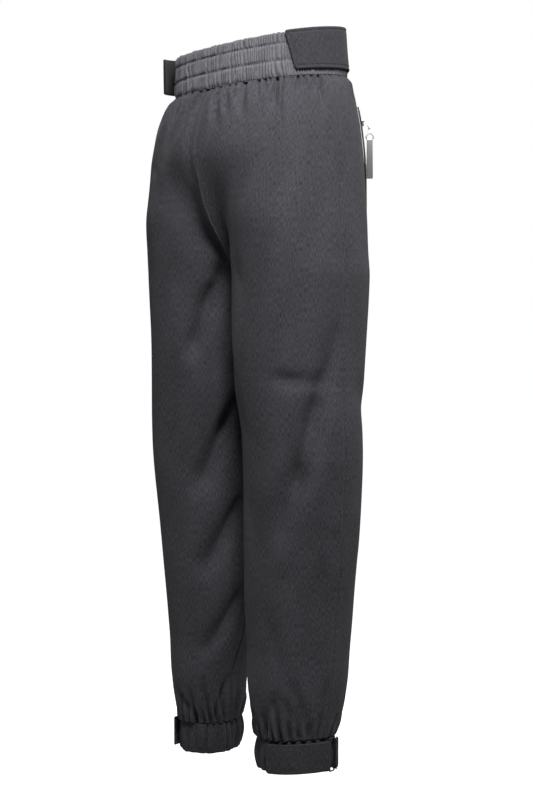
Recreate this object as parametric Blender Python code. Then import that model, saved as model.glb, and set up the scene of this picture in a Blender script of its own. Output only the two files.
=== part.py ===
"""Joggers with an elastic waistband, side tabs, zip pockets and gathered ankle cuffs.

The garment is filled out as if worn, and empty. Its front faces -Y, its left side is +X and +Z is up.
The origin lies in the middle of the waistband. Cloth is a thin wall lofted through level sections.
"""

import math

import bmesh
import bpy
import numpy as np
from mathutils import Matrix, Vector

# ---------------------------------------------------------------- driving dimensions, in metres

LENGTH = 1.006  # top of the waistband to the hem
BAND_HEIGHT = 0.061
CUFF_HEIGHT = 0.043
SEAM_GAP = 0.0003
CLOTH = 0.0012  # thickness of a single panel
EASE = 2.0 / 2.25  # power that squares the sections a little; 1 would be an ellipse

BAND_TOP = 0.029
WAIST_SEAM = BAND_TOP - BAND_HEIGHT
HEM = BAND_TOP - LENGTH
CUFF_SEAM = HEM + CUFF_HEIGHT
CROTCH = -0.300
RISE_START = -0.095  # where the centre seams begin to curve in towards the crotch

# The waistband sits lower at the left and at the back.
# Columns: height, along_x, along_y. The last two are the rise for each metre along +X and along +Y.
TILTS = ((BAND_TOP, -0.078, -0.105), (WAIST_SEAM, -0.059, -0.055), (-0.250, 0.0, 0.0))

# Level sections of one leg and its half of the seat. outer and inner are distances from the
# centre plane, front and back are places along Y, and turn is how far the toe side points out.
SECTION_COLUMNS = ("height", "outer", "inner", "front", "back", "turn")
SECTIONS = (
    (BAND_TOP, 0.133, 0.000, -0.071, 0.102, 0.0),
    (WAIST_SEAM, 0.136, 0.000, -0.079, 0.103, 0.0),
    (-0.042, 0.145, 0.000, -0.086, 0.113, 0.0),
    (-0.054, 0.150, 0.000, -0.089, 0.121, 0.0),
    (-0.076, 0.155, 0.000, -0.093, 0.131, 0.0),
    (-0.099, 0.158, 0.000, -0.097, 0.137, 0.0),
    (-0.137, 0.161, 0.000, -0.101, 0.143, 0.0),
    (-0.200, 0.163, 0.000, -0.096, 0.140, 0.0),
    (-0.262, 0.167, 0.000, -0.085, 0.125, 0.0),
    (CROTCH, 0.170, 0.001, -0.081, 0.118, 0.0),
    (-0.390, 0.168, 0.002, -0.074, 0.115, 0.0),
    (-0.436, 0.169, 0.004, -0.068, 0.112, 0.0),
    (-0.527, 0.172, 0.014, -0.060, 0.104, 3.0),
    (-0.655, 0.163, 0.013, -0.061, 0.098, 8.0),
    (-0.739, 0.153, 0.015, -0.056, 0.096, 14.0),
    (-0.807, 0.146, 0.023, -0.049, 0.094, 20.0),
    (-0.862, 0.140, 0.037, -0.042, 0.099, 25.0),
    (-0.910, 0.132, 0.042, -0.037, 0.091, 25.0),
    (CUFF_SEAM, 0.127, 0.045, -0.027, 0.083, 25.0),
)

# Main folds, each a soft trough (or a ridge, where depth is below zero) along a straight line on one
# panel. share runs from 0 at the outseam to 1 at the inner edge.
# Columns: panel, height_a, share_a, height_b, share_b, depth, half_width.
FOLDS = (
    ("back_right", -0.375, 0.02, -0.475, 0.14, 0.0035, 0.017),
    ("back_right", -0.475, 0.14, -0.574, 0.27, 0.0055, 0.018),
    ("back_right", -0.574, 0.27, -0.640, 0.36, 0.0045, 0.018),
    ("back_right", -0.550, 0.10, -0.680, 0.33, -0.0035, 0.020),
    ("back_right", -0.440, 0.15, -0.442, 0.30, 0.0035, 0.012),
    ("back_right", -0.315, 0.92, -0.375, 0.80, 0.0040, 0.015),
    ("back_left", -0.300, 0.86, -0.390, 0.66, 0.0050, 0.018),
    ("back_left", -0.470, 0.95, -0.580, 0.74, 0.0060, 0.018),
    ("back_left", -0.620, 0.94, -0.700, 0.70, 0.0050, 0.018),
    ("back_left", -0.750, 0.92, -0.820, 0.72, 0.0040, 0.016),
    ("back_left", -0.050, 0.92, -0.130, 0.70, 0.0030, 0.012),
    ("back_left", -0.060, 0.78, -0.140, 0.56, 0.0025, 0.012),
    ("front_right", -0.455, 0.10, -0.500, 0.38, 0.0040, 0.018),
    ("front_right", -0.560, 0.80, -0.640, 0.55, 0.0040, 0.018),
    ("front_right", -0.300, 0.85, -0.250, 0.55, 0.0040, 0.018),
    ("front_right", -0.760, 0.75, -0.830, 0.50, 0.0035, 0.016),
    ("front_left", -0.455, 0.08, -0.490, 0.34, 0.0040, 0.018),
    ("front_left", -0.575, 0.82, -0.660, 0.55, 0.0040, 0.018),
    ("front_left", -0.300, 0.86, -0.240, 0.52, 0.0040, 0.018),
    ("front_left", -0.740, 0.70, -0.810, 0.45, 0.0035, 0.016),
)

# Gathers where a panel is eased into the waistband and into its cuff, by panel face.
# Columns: face, at_waist, at_cuff, columns of points across the panel.
GATHERS = (("front", 3, 5, 13), ("back", 6, 6, 19))
GATHER_DEPTH = 0.0022
GATHER_LENGTH = 0.035
FLAT_EDGE = 0.04  # share at each edge of a panel over which folds and gathers die away
CENTRE_SEAM_HOLD = 10  # how closely only the centre seam follows the crotch curve

# Elastic waistband: three channels between two stitch lines, drawn into fine upright pleats.
ELASTIC_FROM, ELASTIC_TO = -50.0, 230.0  # degrees, counter-clockwise from the wearer's left
ELASTIC_INSIDE, ELASTIC_OUTSIDE = -0.0010, 0.0004
PLEATS = 100
PLEAT_DEPTH = 0.0008
# Columns: down (share of the band's height), bulge, pleating (share of the pleats' depth).
CHANNELS = (
    (0.000, 0.0002, 0.6),
    (0.120, 0.0009, 1.0),
    (0.250, 0.0000, 0.5),
    (0.450, 0.0010, 1.0),
    (0.640, 0.0000, 0.5),
    (0.820, 0.0010, 1.0),
    (1.000, 0.0002, 0.6),
)
BAND_OUTSIDE = 0.0022  # outer face of the plain front band
FRONT_BAND_COLUMNS = 19

# Tabs: the right ones are pressed down, and the left ones are open and stand off at their ends.
# Columns: side, start, end_top and end_bottom (directions), stand_off (lift of the free end).
WAIST_TABS = (
    ("right", 238.0, 141.0, 148.5, 0.0000),
    ("left", -58.0, 33.0, 29.0, 0.0160),
)
WAIST_TAB_BOTTOM, WAIST_TAB_TOP = WAIST_SEAM + 0.0080, BAND_TOP + 0.0020
WAIST_TAB_INSIDE, WAIST_TAB_THICKNESS = 0.0030, 0.0020
STAND_OFF_FROM = 0.35  # share of an open tab that still lies on the garment
OPEN_TAB_RISE = 0.002
TAB_POINTS = 20

# Ankle cuffs, in degrees of direction on the right leg; the left leg mirrors them.
CUFF_GATHERS = 30
CUFF_GATHER_DEPTH = 0.0009
CUFF_INSIDE, CUFF_OUTSIDE = -0.0008, 0.0004
STRAP_THICKNESS = 0.0014
STRAP_UNDER, STRAP_OVER = 0.0024, 0.0044  # middle of the inner and the outer layer
STRAP_BOTTOM, STRAP_TOP = HEM - 0.0010, CUFF_SEAM - 0.0025
STRAP_FROM = 98.0  # free end, at the centre back
STRAP_UNDER_END = 152.0
RING_BAR_STRAP, RING_BAR_LOOP = 180.0, 194.0
LOOP_END = 222.0
BAR_APPROACH = 12.0  # degrees over which a strap spreads to pass the bar
OPEN_STRAP_END = 128.0
OPEN_STRAP_LIFT = 0.0045
OPEN_STRAP_RISE = 0.0060  # how much higher its free end stands
RING_WIRE = 0.0011  # radius
RING_OFFSET = 0.0043  # middle of the wire from the cuff's line
RING_BOTTOM, RING_TOP = HEM - 0.0035, CUFF_SEAM + 0.0015
RING_CORNER = 0.0030
BAR_CLEARANCE = 0.0007  # between a bar and the strap round it

# Pocket zips on the fronts: from top to bottom, as shares of the front panel.
ZIP_TOP, ZIP_BOTTOM = -0.072, -0.226
ZIP_SHARE_TOP, ZIP_SHARE_BOTTOM = 0.36, 0.42
ZIP_WIDTH, ZIP_THICKNESS = 0.012, 0.0012
FRONT_ROUND_TO_STRAIGHT = 1.25  # a front panel's width round its curve, over the straight line across it
ZIP_LIFT = 0.0009
ZIP_ROWS = 11
SLIDER_HEIGHT = -0.092
SLIDER_LENGTH, SLIDER_WIDTH, SLIDER_DEPTH = 0.0110, 0.0075, 0.0028
SLIDER_CLEARANCE = 0.0005
SLIDER_FOOT = 0.7  # width of its lower end over that of its upper end
SLIDER_EDGE = 0.0007  # rounding of its edges
HINGE_OUT = 0.0140  # hinge axis from the panel
HINGE_DROP = 0.0090  # hinge axis below the slider's middle
HINGE_WIRE = 0.0008
BAIL_HALF_WIDTH = 0.0030
BAIL_FOOT_UP = 0.0020  # where the stirrup leaves the slider, above its middle
BAIL_SHOULDER_OUT, BAIL_SHOULDER_UP = 0.0025, 0.0015  # its first bend, clear of the slider
BAIL_KNEE_IN, BAIL_KNEE_UP = 0.0025, 0.0040  # its second bend, from the cross bar

# Zip pull: neck, ring and long plate, cut from one sheet.
PULL_HOLE = 0.0013
PULL_NECK = 0.0023  # half-width
RING_OUTER, RING_INNER = 0.0060, 0.0038
PULL_RING_DROP = 0.0110
PLATE_TOP_HALF, PLATE_BOTTOM_HALF = 0.0040, 0.0046
PLATE_LENGTH = 0.0530
PLATE_CORNER = 0.0014
PULL_THICKNESS = 0.0013

OUTLINE_POINTS = 181
LEG_ROWS = 19  # rows of the panels between the crotch and the gathers
SIDES = (("right", -1.0), ("left", 1.0))
FACES = (("front", -1.0), ("back", 1.0))


# ---------------------------------------------------------------- scene and materials


def clear_scene():
    for obj in list(bpy.data.objects):
        bpy.data.objects.remove(obj, do_unlink=True)


def material(name, colour, roughness, metallic=0.0):
    found = bpy.data.materials.get(name)
    if found:
        return found
    made = bpy.data.materials.new(name)
    made.use_nodes = True
    shader = made.node_tree.nodes["Principled BSDF"]
    shader.inputs["Base Color"].default_value = (*colour, 1.0)
    shader.inputs["Roughness"].default_value = roughness
    shader.inputs["Metallic"].default_value = metallic
    return made


def charcoal():
    return material("charcoal_cloth", (0.045, 0.045, 0.052), 0.85)


def grey_elastic():
    return material("grey_elastic", (0.21, 0.21, 0.22), 0.80)


def black_trim():
    return material("black_trim", (0.015, 0.015, 0.017), 0.60)


def silver():
    return material("silver_metal", (0.70, 0.70, 0.72), 0.28, 1.0)


def add_object(name, data, finish, collection):
    obj = bpy.data.objects.new(name, data)
    data.materials.append(finish)
    collection.objects.link(obj)
    return obj


# ---------------------------------------------------------------- tables


def smooth(places, values, at):
    """A curve through a table's values that doesn't overshoot them. places fall from top to bottom."""
    x = -np.asarray(places, float)
    y = np.asarray(values, float)
    at = np.clip(-np.asarray(at, float), x[0], x[-1])
    step, rise = np.diff(x), np.diff(y) / np.diff(x)
    slope = np.zeros(len(x))
    same = rise[1:] * rise[:-1] > 0
    mean = 2 * rise[1:] * rise[:-1] / np.where(same, rise[1:] + rise[:-1], 1.0)
    slope[1:-1] = np.where(same, mean, 0.0)
    slope[0], slope[-1] = rise[0], rise[-1]
    i = np.clip(np.searchsorted(x, at, side="right") - 1, 0, len(step) - 1)
    t = (at - x[i]) / step[i]
    start = (1 + 2 * t) * (1 - t) ** 2 * y[i] + t * (1 - t) ** 2 * step[i] * slope[i]
    end = t * t * (3 - 2 * t) * y[i + 1] + t * t * (t - 1) * step[i] * slope[i + 1]
    return start + end


def section(height):
    """The named sizes of the section at this height."""
    table = np.array(SECTIONS)
    return {
        name: float(smooth(table[:, 0], table[:, i], height))
        for i, name in enumerate(SECTION_COLUMNS)
    }


def ramp(value, start, end):
    """0 at start, 1 at end, and smooth between."""
    share = min(max((value - start) / (end - start), 0.0), 1.0)
    return share * share * (3 - 2 * share)


# ---------------------------------------------------------------- outlines in plan


def powered(values):
    return np.sign(values) * np.abs(values) ** EASE


def normals_of(points):
    """Unit normals in plan, to the right of the way the points run."""
    along = np.gradient(points[:, :2], axis=0)
    along /= np.linalg.norm(along, axis=1)[:, None]
    return np.stack([along[:, 1], -along[:, 0]], axis=1)


def lengths_of(points):
    steps = np.linalg.norm(np.diff(points, axis=0), axis=1)
    return np.concatenate([[0.0], np.cumsum(steps)])


def leg_ring(sizes, angles, facing):
    """Points of the leg's closed section: angles run from the outseam to the inseam."""
    half_width = (sizes["outer"] - sizes["inner"]) / 2
    half_depth = (sizes["back"] - sizes["front"]) / 2
    turn = -math.radians(sizes["turn"])
    angles = angles + facing * turn  # the seams stay at the sides as the section turns
    x = -half_width * powered(np.cos(angles))
    y = facing * half_depth * powered(np.sin(angles))
    centre_x = -(sizes["outer"] + sizes["inner"]) / 2
    centre_y = (sizes["front"] + sizes["back"]) / 2
    return np.stack(
        [
            centre_x + x * math.cos(turn) - y * math.sin(turn),
            centre_y + x * math.sin(turn) + y * math.cos(turn),
        ],
        axis=1,
    )


def seat_arc(sizes, angles, facing):
    """Points of half the seat's section, from the outseam to the centre seam."""
    half_depth = (sizes["back"] - sizes["front"]) / 2
    centre_y = (sizes["front"] + sizes["back"]) / 2
    return np.stack(
        [
            -sizes["outer"] * powered(np.cos(angles)),
            centre_y + facing * half_depth * powered(np.sin(angles)),
        ],
        axis=1,
    )


def fold_depth(panel, shares, height, width):
    """How far this panel's folds push each point of the section in."""
    total = np.zeros(len(shares))
    for name, za, sa, zb, sb, depth, half_width in FOLDS:
        if name != panel:
            continue
        a = np.array([sa * width, za])
        along = np.array([sb * width, zb]) - a
        point = np.stack([shares * width, np.full(len(shares), height)], axis=1) - a
        t = np.clip(point @ along / (along @ along), 0.0, 1.0)
        away = np.linalg.norm(point - t[:, None] * along, axis=1)
        total += depth * np.exp(-((away / half_width) ** 2))
    return total


def gather_depth(face, shares, height):
    at_waist, at_cuff = next(row[1:3] for row in GATHERS if row[0] == face)
    waist = ramp(height, WAIST_SEAM - GATHER_LENGTH, WAIST_SEAM)
    cuff = ramp(height, CUFF_SEAM + GATHER_LENGTH, CUFF_SEAM)
    waves = waist * (0.5 - 0.5 * np.cos(2 * math.pi * at_waist * shares))
    waves = waves + cuff * (0.5 - 0.5 * np.cos(2 * math.pi * at_cuff * shares))
    return GATHER_DEPTH * waves


def panel_outline(panel, height):
    """Dense points of one right-hand panel at this height, from the outseam to its inner edge."""
    face = panel.split("_")[0]
    facing = dict(FACES)[face]
    sizes = section(height)
    shares = np.linspace(0.0, 1.0, OUTLINE_POINTS)
    drop = min(max((RISE_START - height) / (RISE_START - CROTCH), 0.0), 1.0)
    at_seam = 1.0 - math.sqrt(1.0 - drop * drop)
    at_side = drop * drop * (3 - 2 * drop)
    blend = (at_side + (at_seam - at_side) * shares**CENTRE_SEAM_HOLD)[:, None]
    seat = seat_arc(sizes, shares * math.pi / 2, facing)
    leg = leg_ring(sizes, shares * math.pi, facing)
    points = (1.0 - blend) * seat + blend * leg
    width = lengths_of(points)[-1]
    depth = fold_depth(panel, shares, height, width) + gather_depth(face, shares, height)
    at_edges = np.minimum(1.0, np.minimum(shares, 1.0 - shares) / FLAT_EDGE)
    return points + facing * normals_of(points) * (depth * at_edges)[:, None]


def resample(points, count, trim, even):
    """count points along a line, less a trim at both ends, with their normals.

    They are spaced evenly, or else by their share of the section, which keeps a panel's columns upright.
    """
    lengths = lengths_of(points)
    if even:
        wanted = np.linspace(0.0, lengths[-1], count)
    else:
        wanted = np.interp(np.linspace(0.0, 1.0, count), np.linspace(0.0, 1.0, len(points)), lengths)
    wanted = np.clip(wanted, trim, lengths[-1] - trim)
    normals = normals_of(points)
    columns = [np.interp(wanted, lengths, points[:, i]) for i in (0, 1)]
    facing = [np.interp(wanted, lengths, normals[:, i]) for i in (0, 1)]
    facing = np.stack(facing, axis=1)
    return np.stack(columns, axis=1), facing / np.linalg.norm(facing, axis=1)[:, None]


def tilted(points, height):
    """Plan points at a height, dropped with the waistband's tilt where that still shows."""
    table = np.array(TILTS)
    rises = [float(smooth(table[:, 0], table[:, i], height)) for i in (1, 2)]
    return np.column_stack([points, height + points @ rises])


# ---------------------------------------------------------------- walls


def wall(name, outer, inner, finish, collection, closed=False):
    """A closed wall between two grids of points, each of rows from top to bottom."""
    bm = bmesh.new()
    out = [[bm.verts.new(p) for p in row] for row in outer]
    ins = [[bm.verts.new(p) for p in row] for row in inner]
    columns = len(out[0])
    steps = range(columns if closed else columns - 1)
    for grid in (out, ins):
        for upper, lower in zip(grid, grid[1:]):
            for c in steps:
                d = (c + 1) % columns
                bm.faces.new((upper[c], upper[d], lower[d], lower[c]))
    for edge in (0, -1):
        for c in steps:
            d = (c + 1) % columns
            bm.faces.new((out[edge][c], out[edge][d], ins[edge][d], ins[edge][c]))
    if not closed:
        for c in (0, -1):
            if len(out) == len(ins):
                for r in range(len(out) - 1):
                    bm.faces.new((out[r][c], out[r + 1][c], ins[r + 1][c], ins[r][c]))
            else:
                rim = [row[c] for row in out] + [row[c] for row in reversed(ins)]
                bm.faces.new(rim)
    bmesh.ops.recalc_face_normals(bm, faces=bm.faces)
    mesh = bpy.data.meshes.new(name)
    bm.to_mesh(mesh)
    bm.free()
    mesh.shade_smooth()
    mesh.set_sharp_from_angle(angle=math.radians(50))
    return add_object(name, mesh, finish, collection)


def row_heights():
    """Heights of the rows: close at the gathers and where the centre seams turn in to the crotch."""
    top = WAIST_SEAM - SEAM_GAP / 2
    bottom = CUFF_SEAM + SEAM_GAP / 2
    upper = [top, WAIST_SEAM - 0.014, WAIST_SEAM - 0.036]
    turn = [RISE_START + (CROTCH - RISE_START) * math.sin(math.radians(a)) for a in range(0, 91, 13)]
    turn.append(CROTCH)
    leg = list(np.linspace(CROTCH, CUFF_SEAM + 0.040, LEG_ROWS + 1))[1:]
    lower = [CUFF_SEAM + 0.026, CUFF_SEAM + 0.012, bottom]
    return upper + turn + leg + lower


def panel_grid(panel, sign):
    """Outer and inner points and outward normals of a leg panel."""
    face = panel.split("_")[0]
    facing = dict(FACES)[face]
    columns = next(row[3] for row in GATHERS if row[0] == face)
    outer, inner, outward = [], [], []
    for height in row_heights():
        points, normals = resample(panel_outline(panel, height), columns, SEAM_GAP / 2, False)
        normals = -facing * normals
        inside = points - CLOTH * normals
        rows = []
        for line in (points, inside):
            line = line.copy()
            line[:, 0] = np.minimum(line[:, 0], -SEAM_GAP / 2) * -sign
            rows.append(tilted(line, height))
        outer.append(rows[0])
        inner.append(rows[1])
        outward.append(np.column_stack([normals[:, 0] * -sign, normals[:, 1], 0 * normals[:, 0]]))
    return np.array(outer), np.array(inner), np.array(outward)


def make_panels(collection):
    grids = {}
    for face, _ in FACES:
        for side, sign in SIDES:
            name = f"{face}_{side}"
            grids[name] = panel_grid(name, sign)
            wall(name, grids[name][0], grids[name][1], charcoal(), collection)
    return grids


# ---------------------------------------------------------------- waistband


def waist_ring(start, end, count, height):
    """Points and outward normals of the waistband's line between two directions, in degrees."""
    sizes = section(height)
    angles = np.radians(np.linspace(start, end, OUTLINE_POINTS))
    half_depth = (sizes["back"] - sizes["front"]) / 2
    centre_y = (sizes["front"] + sizes["back"]) / 2
    x = sizes["outer"] * powered(np.cos(angles))
    y = centre_y + half_depth * powered(np.sin(angles))
    points, normals = resample(np.stack([x, y], axis=1), count, SEAM_GAP / 2, True)
    return points, normals if end > start else -normals


def make_elastic(collection):
    count = 2 * PLEATS + 1
    index = np.arange(count)
    uneven = 0.75 + 0.25 * np.sin(index * 0.83) * np.cos(index * 0.29)
    pleats = PLEAT_DEPTH * (index % 2) * uneven
    top, bottom = BAND_TOP, WAIST_SEAM + SEAM_GAP / 2
    outer, inner = [], []
    for down, bulge, pleating in CHANNELS:
        height = top + down * (bottom - top)
        points, normals = waist_ring(ELASTIC_FROM, ELASTIC_TO, count, height)
        lift = ELASTIC_OUTSIDE + bulge + pleating * pleats
        outer.append(tilted(points + normals * lift[:, None], height))
        if down in (0.0, 1.0):
            inner.append(tilted(points + normals * ELASTIC_INSIDE, height))
    wall("waistband_elastic", outer, inner, grey_elastic(), collection)


def make_front_band(collection):
    outer, inner = [], []
    for height in (BAND_TOP, WAIST_SEAM + SEAM_GAP / 2):
        points, normals = waist_ring(ELASTIC_TO, ELASTIC_FROM + 360.0, FRONT_BAND_COLUMNS, height)
        outer.append(tilted(points + normals * BAND_OUTSIDE, height))
        inner.append(tilted(points + normals * ELASTIC_INSIDE, height))
    wall("waistband_front", outer, inner, charcoal(), collection)


def make_waist_tabs(collection):
    for side, start, end_top, end_bottom, stand_off in WAIST_TABS:
        outer, inner = [], []
        for height, end in ((WAIST_TAB_TOP, end_top), (WAIST_TAB_BOTTOM, end_bottom)):
            points, normals = waist_ring(start, end, TAB_POINTS, height)
            share = np.linspace(0.0, 1.0, len(points))
            lift = np.clip((share - STAND_OFF_FROM) / (1 - STAND_OFF_FROM), 0.0, 1.0) ** 2
            near = WAIST_TAB_INSIDE + stand_off * lift
            far = near + WAIST_TAB_THICKNESS
            for line, offset in ((inner, near), (outer, far)):
                row = tilted(points + normals * offset[:, None], height)
                row[:, 2] += OPEN_TAB_RISE * lift * (stand_off > 0)
                line.append(row)
        wall(f"waist_tab_{side}", outer, inner, charcoal(), collection)


# ---------------------------------------------------------------- ankle cuffs


def cuff_line(directions, sign):
    """Points and outward normals of the cuff's line, by direction in degrees on the right leg."""
    sizes = section(CUFF_SEAM)
    angles = np.linspace(0.0, 2 * math.pi, 4 * OUTLINE_POINTS)
    ring = leg_ring(sizes, angles, 1.0)
    normals = -normals_of(ring)
    middle = ring[:-1].mean(axis=0)
    if (normals[0] @ (ring[0] - middle)) < 0:
        normals = -normals
    facing = np.unwrap(np.arctan2(normals[:, 1], normals[:, 0]))
    order = np.argsort(facing)
    facing, ring, normals = facing[order], ring[order], normals[order]
    wanted = np.radians(np.asarray(directions, float))
    wanted = facing[0] + (wanted - facing[0]) % (2 * math.pi)
    points = np.stack([np.interp(wanted, facing, ring[:, i]) for i in (0, 1)], axis=1)
    out = np.stack([np.cos(wanted), np.sin(wanted)], axis=1)
    mirror = np.array([-sign, 1.0])
    return points * mirror, out * mirror


def make_cuffs(collection):
    for side, sign in SIDES:
        count = 3 * CUFF_GATHERS
        index = np.arange(count)
        points, normals = cuff_line(index * 360.0 / count, sign)
        uneven = 0.7 + 0.3 * np.sin(index * 0.61)
        waves = CUFF_GATHER_DEPTH * (0.5 - 0.5 * np.cos(2 * math.pi * index / 3)) * uneven
        levels = ((CUFF_SEAM - SEAM_GAP / 2, 0.5), ((CUFF_SEAM + HEM) / 2, 1.0), (HEM, 0.6))
        outer = []
        for height, strength in levels:
            lift = CUFF_OUTSIDE + strength * waves
            outer.append(np.column_stack([points + normals * lift[:, None], np.full(count, height)]))
        inside = points + normals * CUFF_INSIDE
        inner = [np.column_stack([inside, np.full(count, z)]) for z in (levels[0][0], HEM)]
        wall(f"cuff_{side}", outer, inner, charcoal(), collection, closed=True)


def ribbon(name, path, rise, collection):
    """An upright cloth strip of even thickness along a line in plan, with a rise at each point."""
    normals = normals_of(path)
    faces = (path + normals * STRAP_THICKNESS / 2, path - normals * STRAP_THICKNESS / 2)
    levels = (STRAP_TOP, STRAP_BOTTOM)
    outer, inner = ([np.column_stack([line, z + rise]) for z in levels] for line in faces)
    wall(name, outer, inner, charcoal(), collection)


def spread(start, bar, count):
    """Directions from start to the bar, closer near the bar."""
    return bar + (start - bar) * np.linspace(1.0, 0.0, count) ** 1.7


def turn_around(centre, start, radius, sign, steps=7):
    """A half circle in plan round a bar, from the direction start."""
    angles = start + sign * np.linspace(0.0, math.pi, steps + 1)[1:-1]
    return centre + radius * np.stack([np.cos(angles), np.sin(angles)], axis=1)


def hairpin(sign, bar, over_end, under_end, lift=0.0, rise_at_end=0.0):
    """A strap's path: in along its outer layer, round the ring's bar and back underneath."""
    centre = cuff_line([bar], sign)
    out = centre[1][0]
    middle = centre[0][0] + out * RING_OFFSET
    radius = RING_WIRE + BAR_CLEARANCE + STRAP_THICKNESS / 2
    over_angles = spread(over_end, bar, 16)
    points, normals = cuff_line(over_angles, sign)
    share = (over_angles - bar) / (over_end - bar)
    near_bar = np.array([ramp(abs(angle - bar), BAR_APPROACH, 1.0) for angle in over_angles])
    offset = STRAP_OVER + lift * share**2 + near_bar * (RING_OFFSET + radius - STRAP_OVER)
    over = points + normals * offset[:, None]
    under_angles = spread(under_end, bar, 8)[::-1]
    points, normals = cuff_line(under_angles, sign)
    near_bar = np.array([ramp(abs(angle - bar), BAR_APPROACH, 1.0) for angle in under_angles])
    offset = STRAP_UNDER + near_bar * (RING_OFFSET - radius - STRAP_UNDER)
    under = points + normals * offset[:, None]
    way = 1.0 if bar > over_end else -1.0
    start = math.atan2(out[1], out[0])
    bend = turn_around(middle, start, radius, way * -sign)
    path = np.concatenate([over, bend, under])
    rise = np.zeros(len(path))
    rise[: len(over)] = rise_at_end * ((over_angles - bar) / (over_end - bar)) ** 2
    return path, rise


def make_straps(collection):
    for side, sign in SIDES:
        ends = {
            "right": (STRAP_FROM, STRAP_UNDER_END, 0.0, 0.0),
            "left": (OPEN_STRAP_END, STRAP_UNDER_END, OPEN_STRAP_LIFT, OPEN_STRAP_RISE),
        }
        path, rise = hairpin(sign, RING_BAR_STRAP, *ends[side])
        ribbon(f"ankle_tab_{side}", path, rise, collection)
        path, rise = hairpin(sign, RING_BAR_LOOP, LOOP_END, LOOP_END)
        ribbon(f"ankle_loop_{side}", path, rise, collection)


def rounded_rectangle(half_width, half_height, radius, steps=4):
    points = []
    for corner, start in enumerate((0.0, 90.0, 180.0, 270.0)):
        cx = (half_width - radius) * (1 if corner in (0, 3) else -1)
        cy = (half_height - radius) * (1 if corner in (0, 1) else -1)
        for angle in np.radians(start + np.linspace(0.0, 90.0, steps)):
            points.append((cx + radius * math.cos(angle), cy + radius * math.sin(angle)))
    return points


def make_rings(collection):
    """A wire loop at each ankle, between the tab and the cloth loop that holds it."""
    for side, sign in SIDES:
        ends, out = cuff_line([RING_BAR_STRAP, RING_BAR_LOOP], sign)
        ends = ends + out * RING_OFFSET
        middle, across = ends.mean(axis=0), ends[1] - ends[0]
        half_width = np.linalg.norm(across) / 2
        across = across / np.linalg.norm(across)
        outline = rounded_rectangle(half_width, (RING_TOP - RING_BOTTOM) / 2 - RING_WIRE, RING_CORNER)
        data = bpy.data.curves.new(f"ankle_ring_{side}", "CURVE")
        data.dimensions = "3D"
        data.bevel_depth = RING_WIRE
        data.bevel_resolution = 1
        line = data.splines.new("POLY")
        line.points.add(len(outline) - 1)
        for point, (u, v) in zip(line.points, outline):
            x, y = middle + across * u
            point.co = (x, y, (RING_TOP + RING_BOTTOM) / 2 + v, 1.0)
        line.use_cyclic_u = True
        add_object(data.name, data, black_trim(), collection)


# ---------------------------------------------------------------- pocket zips


def on_grid(grid, heights, share, height):
    """A point of a panel's faceted surface, and where it lies in the grid."""
    rows = len(heights)
    r = float(np.interp(-height, -np.array(heights), np.arange(rows)))
    c = share * (grid.shape[1] - 1)
    r0, c0 = min(int(r), rows - 2), min(int(c), grid.shape[1] - 2)
    fr, fc = r - r0, c - c0
    top = grid[r0, c0] * (1 - fc) + grid[r0, c0 + 1] * fc
    bottom = grid[r0 + 1, c0] * (1 - fc) + grid[r0 + 1, c0 + 1] * fc
    return top * (1 - fr) + bottom * fr


def zip_share(height):
    down = (ZIP_TOP - height) / (ZIP_TOP - ZIP_BOTTOM)
    return ZIP_SHARE_TOP + (ZIP_SHARE_BOTTOM - ZIP_SHARE_TOP) * down


def make_zip(side, grids, collection):
    """The closed zip's tape, on the front panel's points, moved out."""
    outer, _, outward = grids[f"front_{side}"]
    heights = row_heights()
    near, far = [], []
    for height in np.linspace(ZIP_TOP, ZIP_BOTTOM, ZIP_ROWS):
        share = zip_share(height)
        width = np.linalg.norm(on_grid(outer, heights, 1.0, height) - on_grid(outer, heights, 0.0, height))
        half = ZIP_WIDTH / 2 / (FRONT_ROUND_TO_STRAIGHT * width)
        rows = ([], [])
        for at in np.linspace(share - half, share + half, 3):
            point = on_grid(outer, heights, at, height)
            normal = on_grid(outward, heights, at, height)
            normal /= np.linalg.norm(normal)
            rows[0].append(point + normal * ZIP_LIFT)
            rows[1].append(point + normal * (ZIP_LIFT + ZIP_THICKNESS))
        near.append(rows[0])
        far.append(rows[1])
    wall(f"pocket_zip_{side}", far, near, black_trim(), collection)


def frame_of(across, out, up, origin):
    frame = Matrix((across, out, up)).transposed().to_4x4()
    frame.translation = origin
    return frame


def zip_frames(side, grids):
    """Two frames on the tape under the slider, each across the zip, outwards and up.

    The first is upright and carries the pull. The second leans with the tape and carries the slider.
    """
    outer, _, outward = grids[f"front_{side}"]
    heights = row_heights()

    def place(height):
        share = zip_share(height)
        out = Vector(on_grid(outward, heights, share, height)).normalized()
        return Vector(on_grid(outer, heights, share, height)) + out * (ZIP_LIFT + ZIP_THICKNESS), out

    origin, out = place(SLIDER_HEIGHT)
    up = Vector((0.0, 0.0, 1.0))
    across = out.cross(up)
    along = place(SLIDER_HEIGHT + SLIDER_LENGTH / 2)[0] - place(SLIDER_HEIGHT - SLIDER_LENGTH / 2)[0]
    lean = (along - across * along.dot(across)).normalized()
    away = lean.cross(across)
    seat = frame_of(across, away, lean, origin + away * SLIDER_CLEARANCE)
    return frame_of(across, out, up, origin), seat


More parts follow.
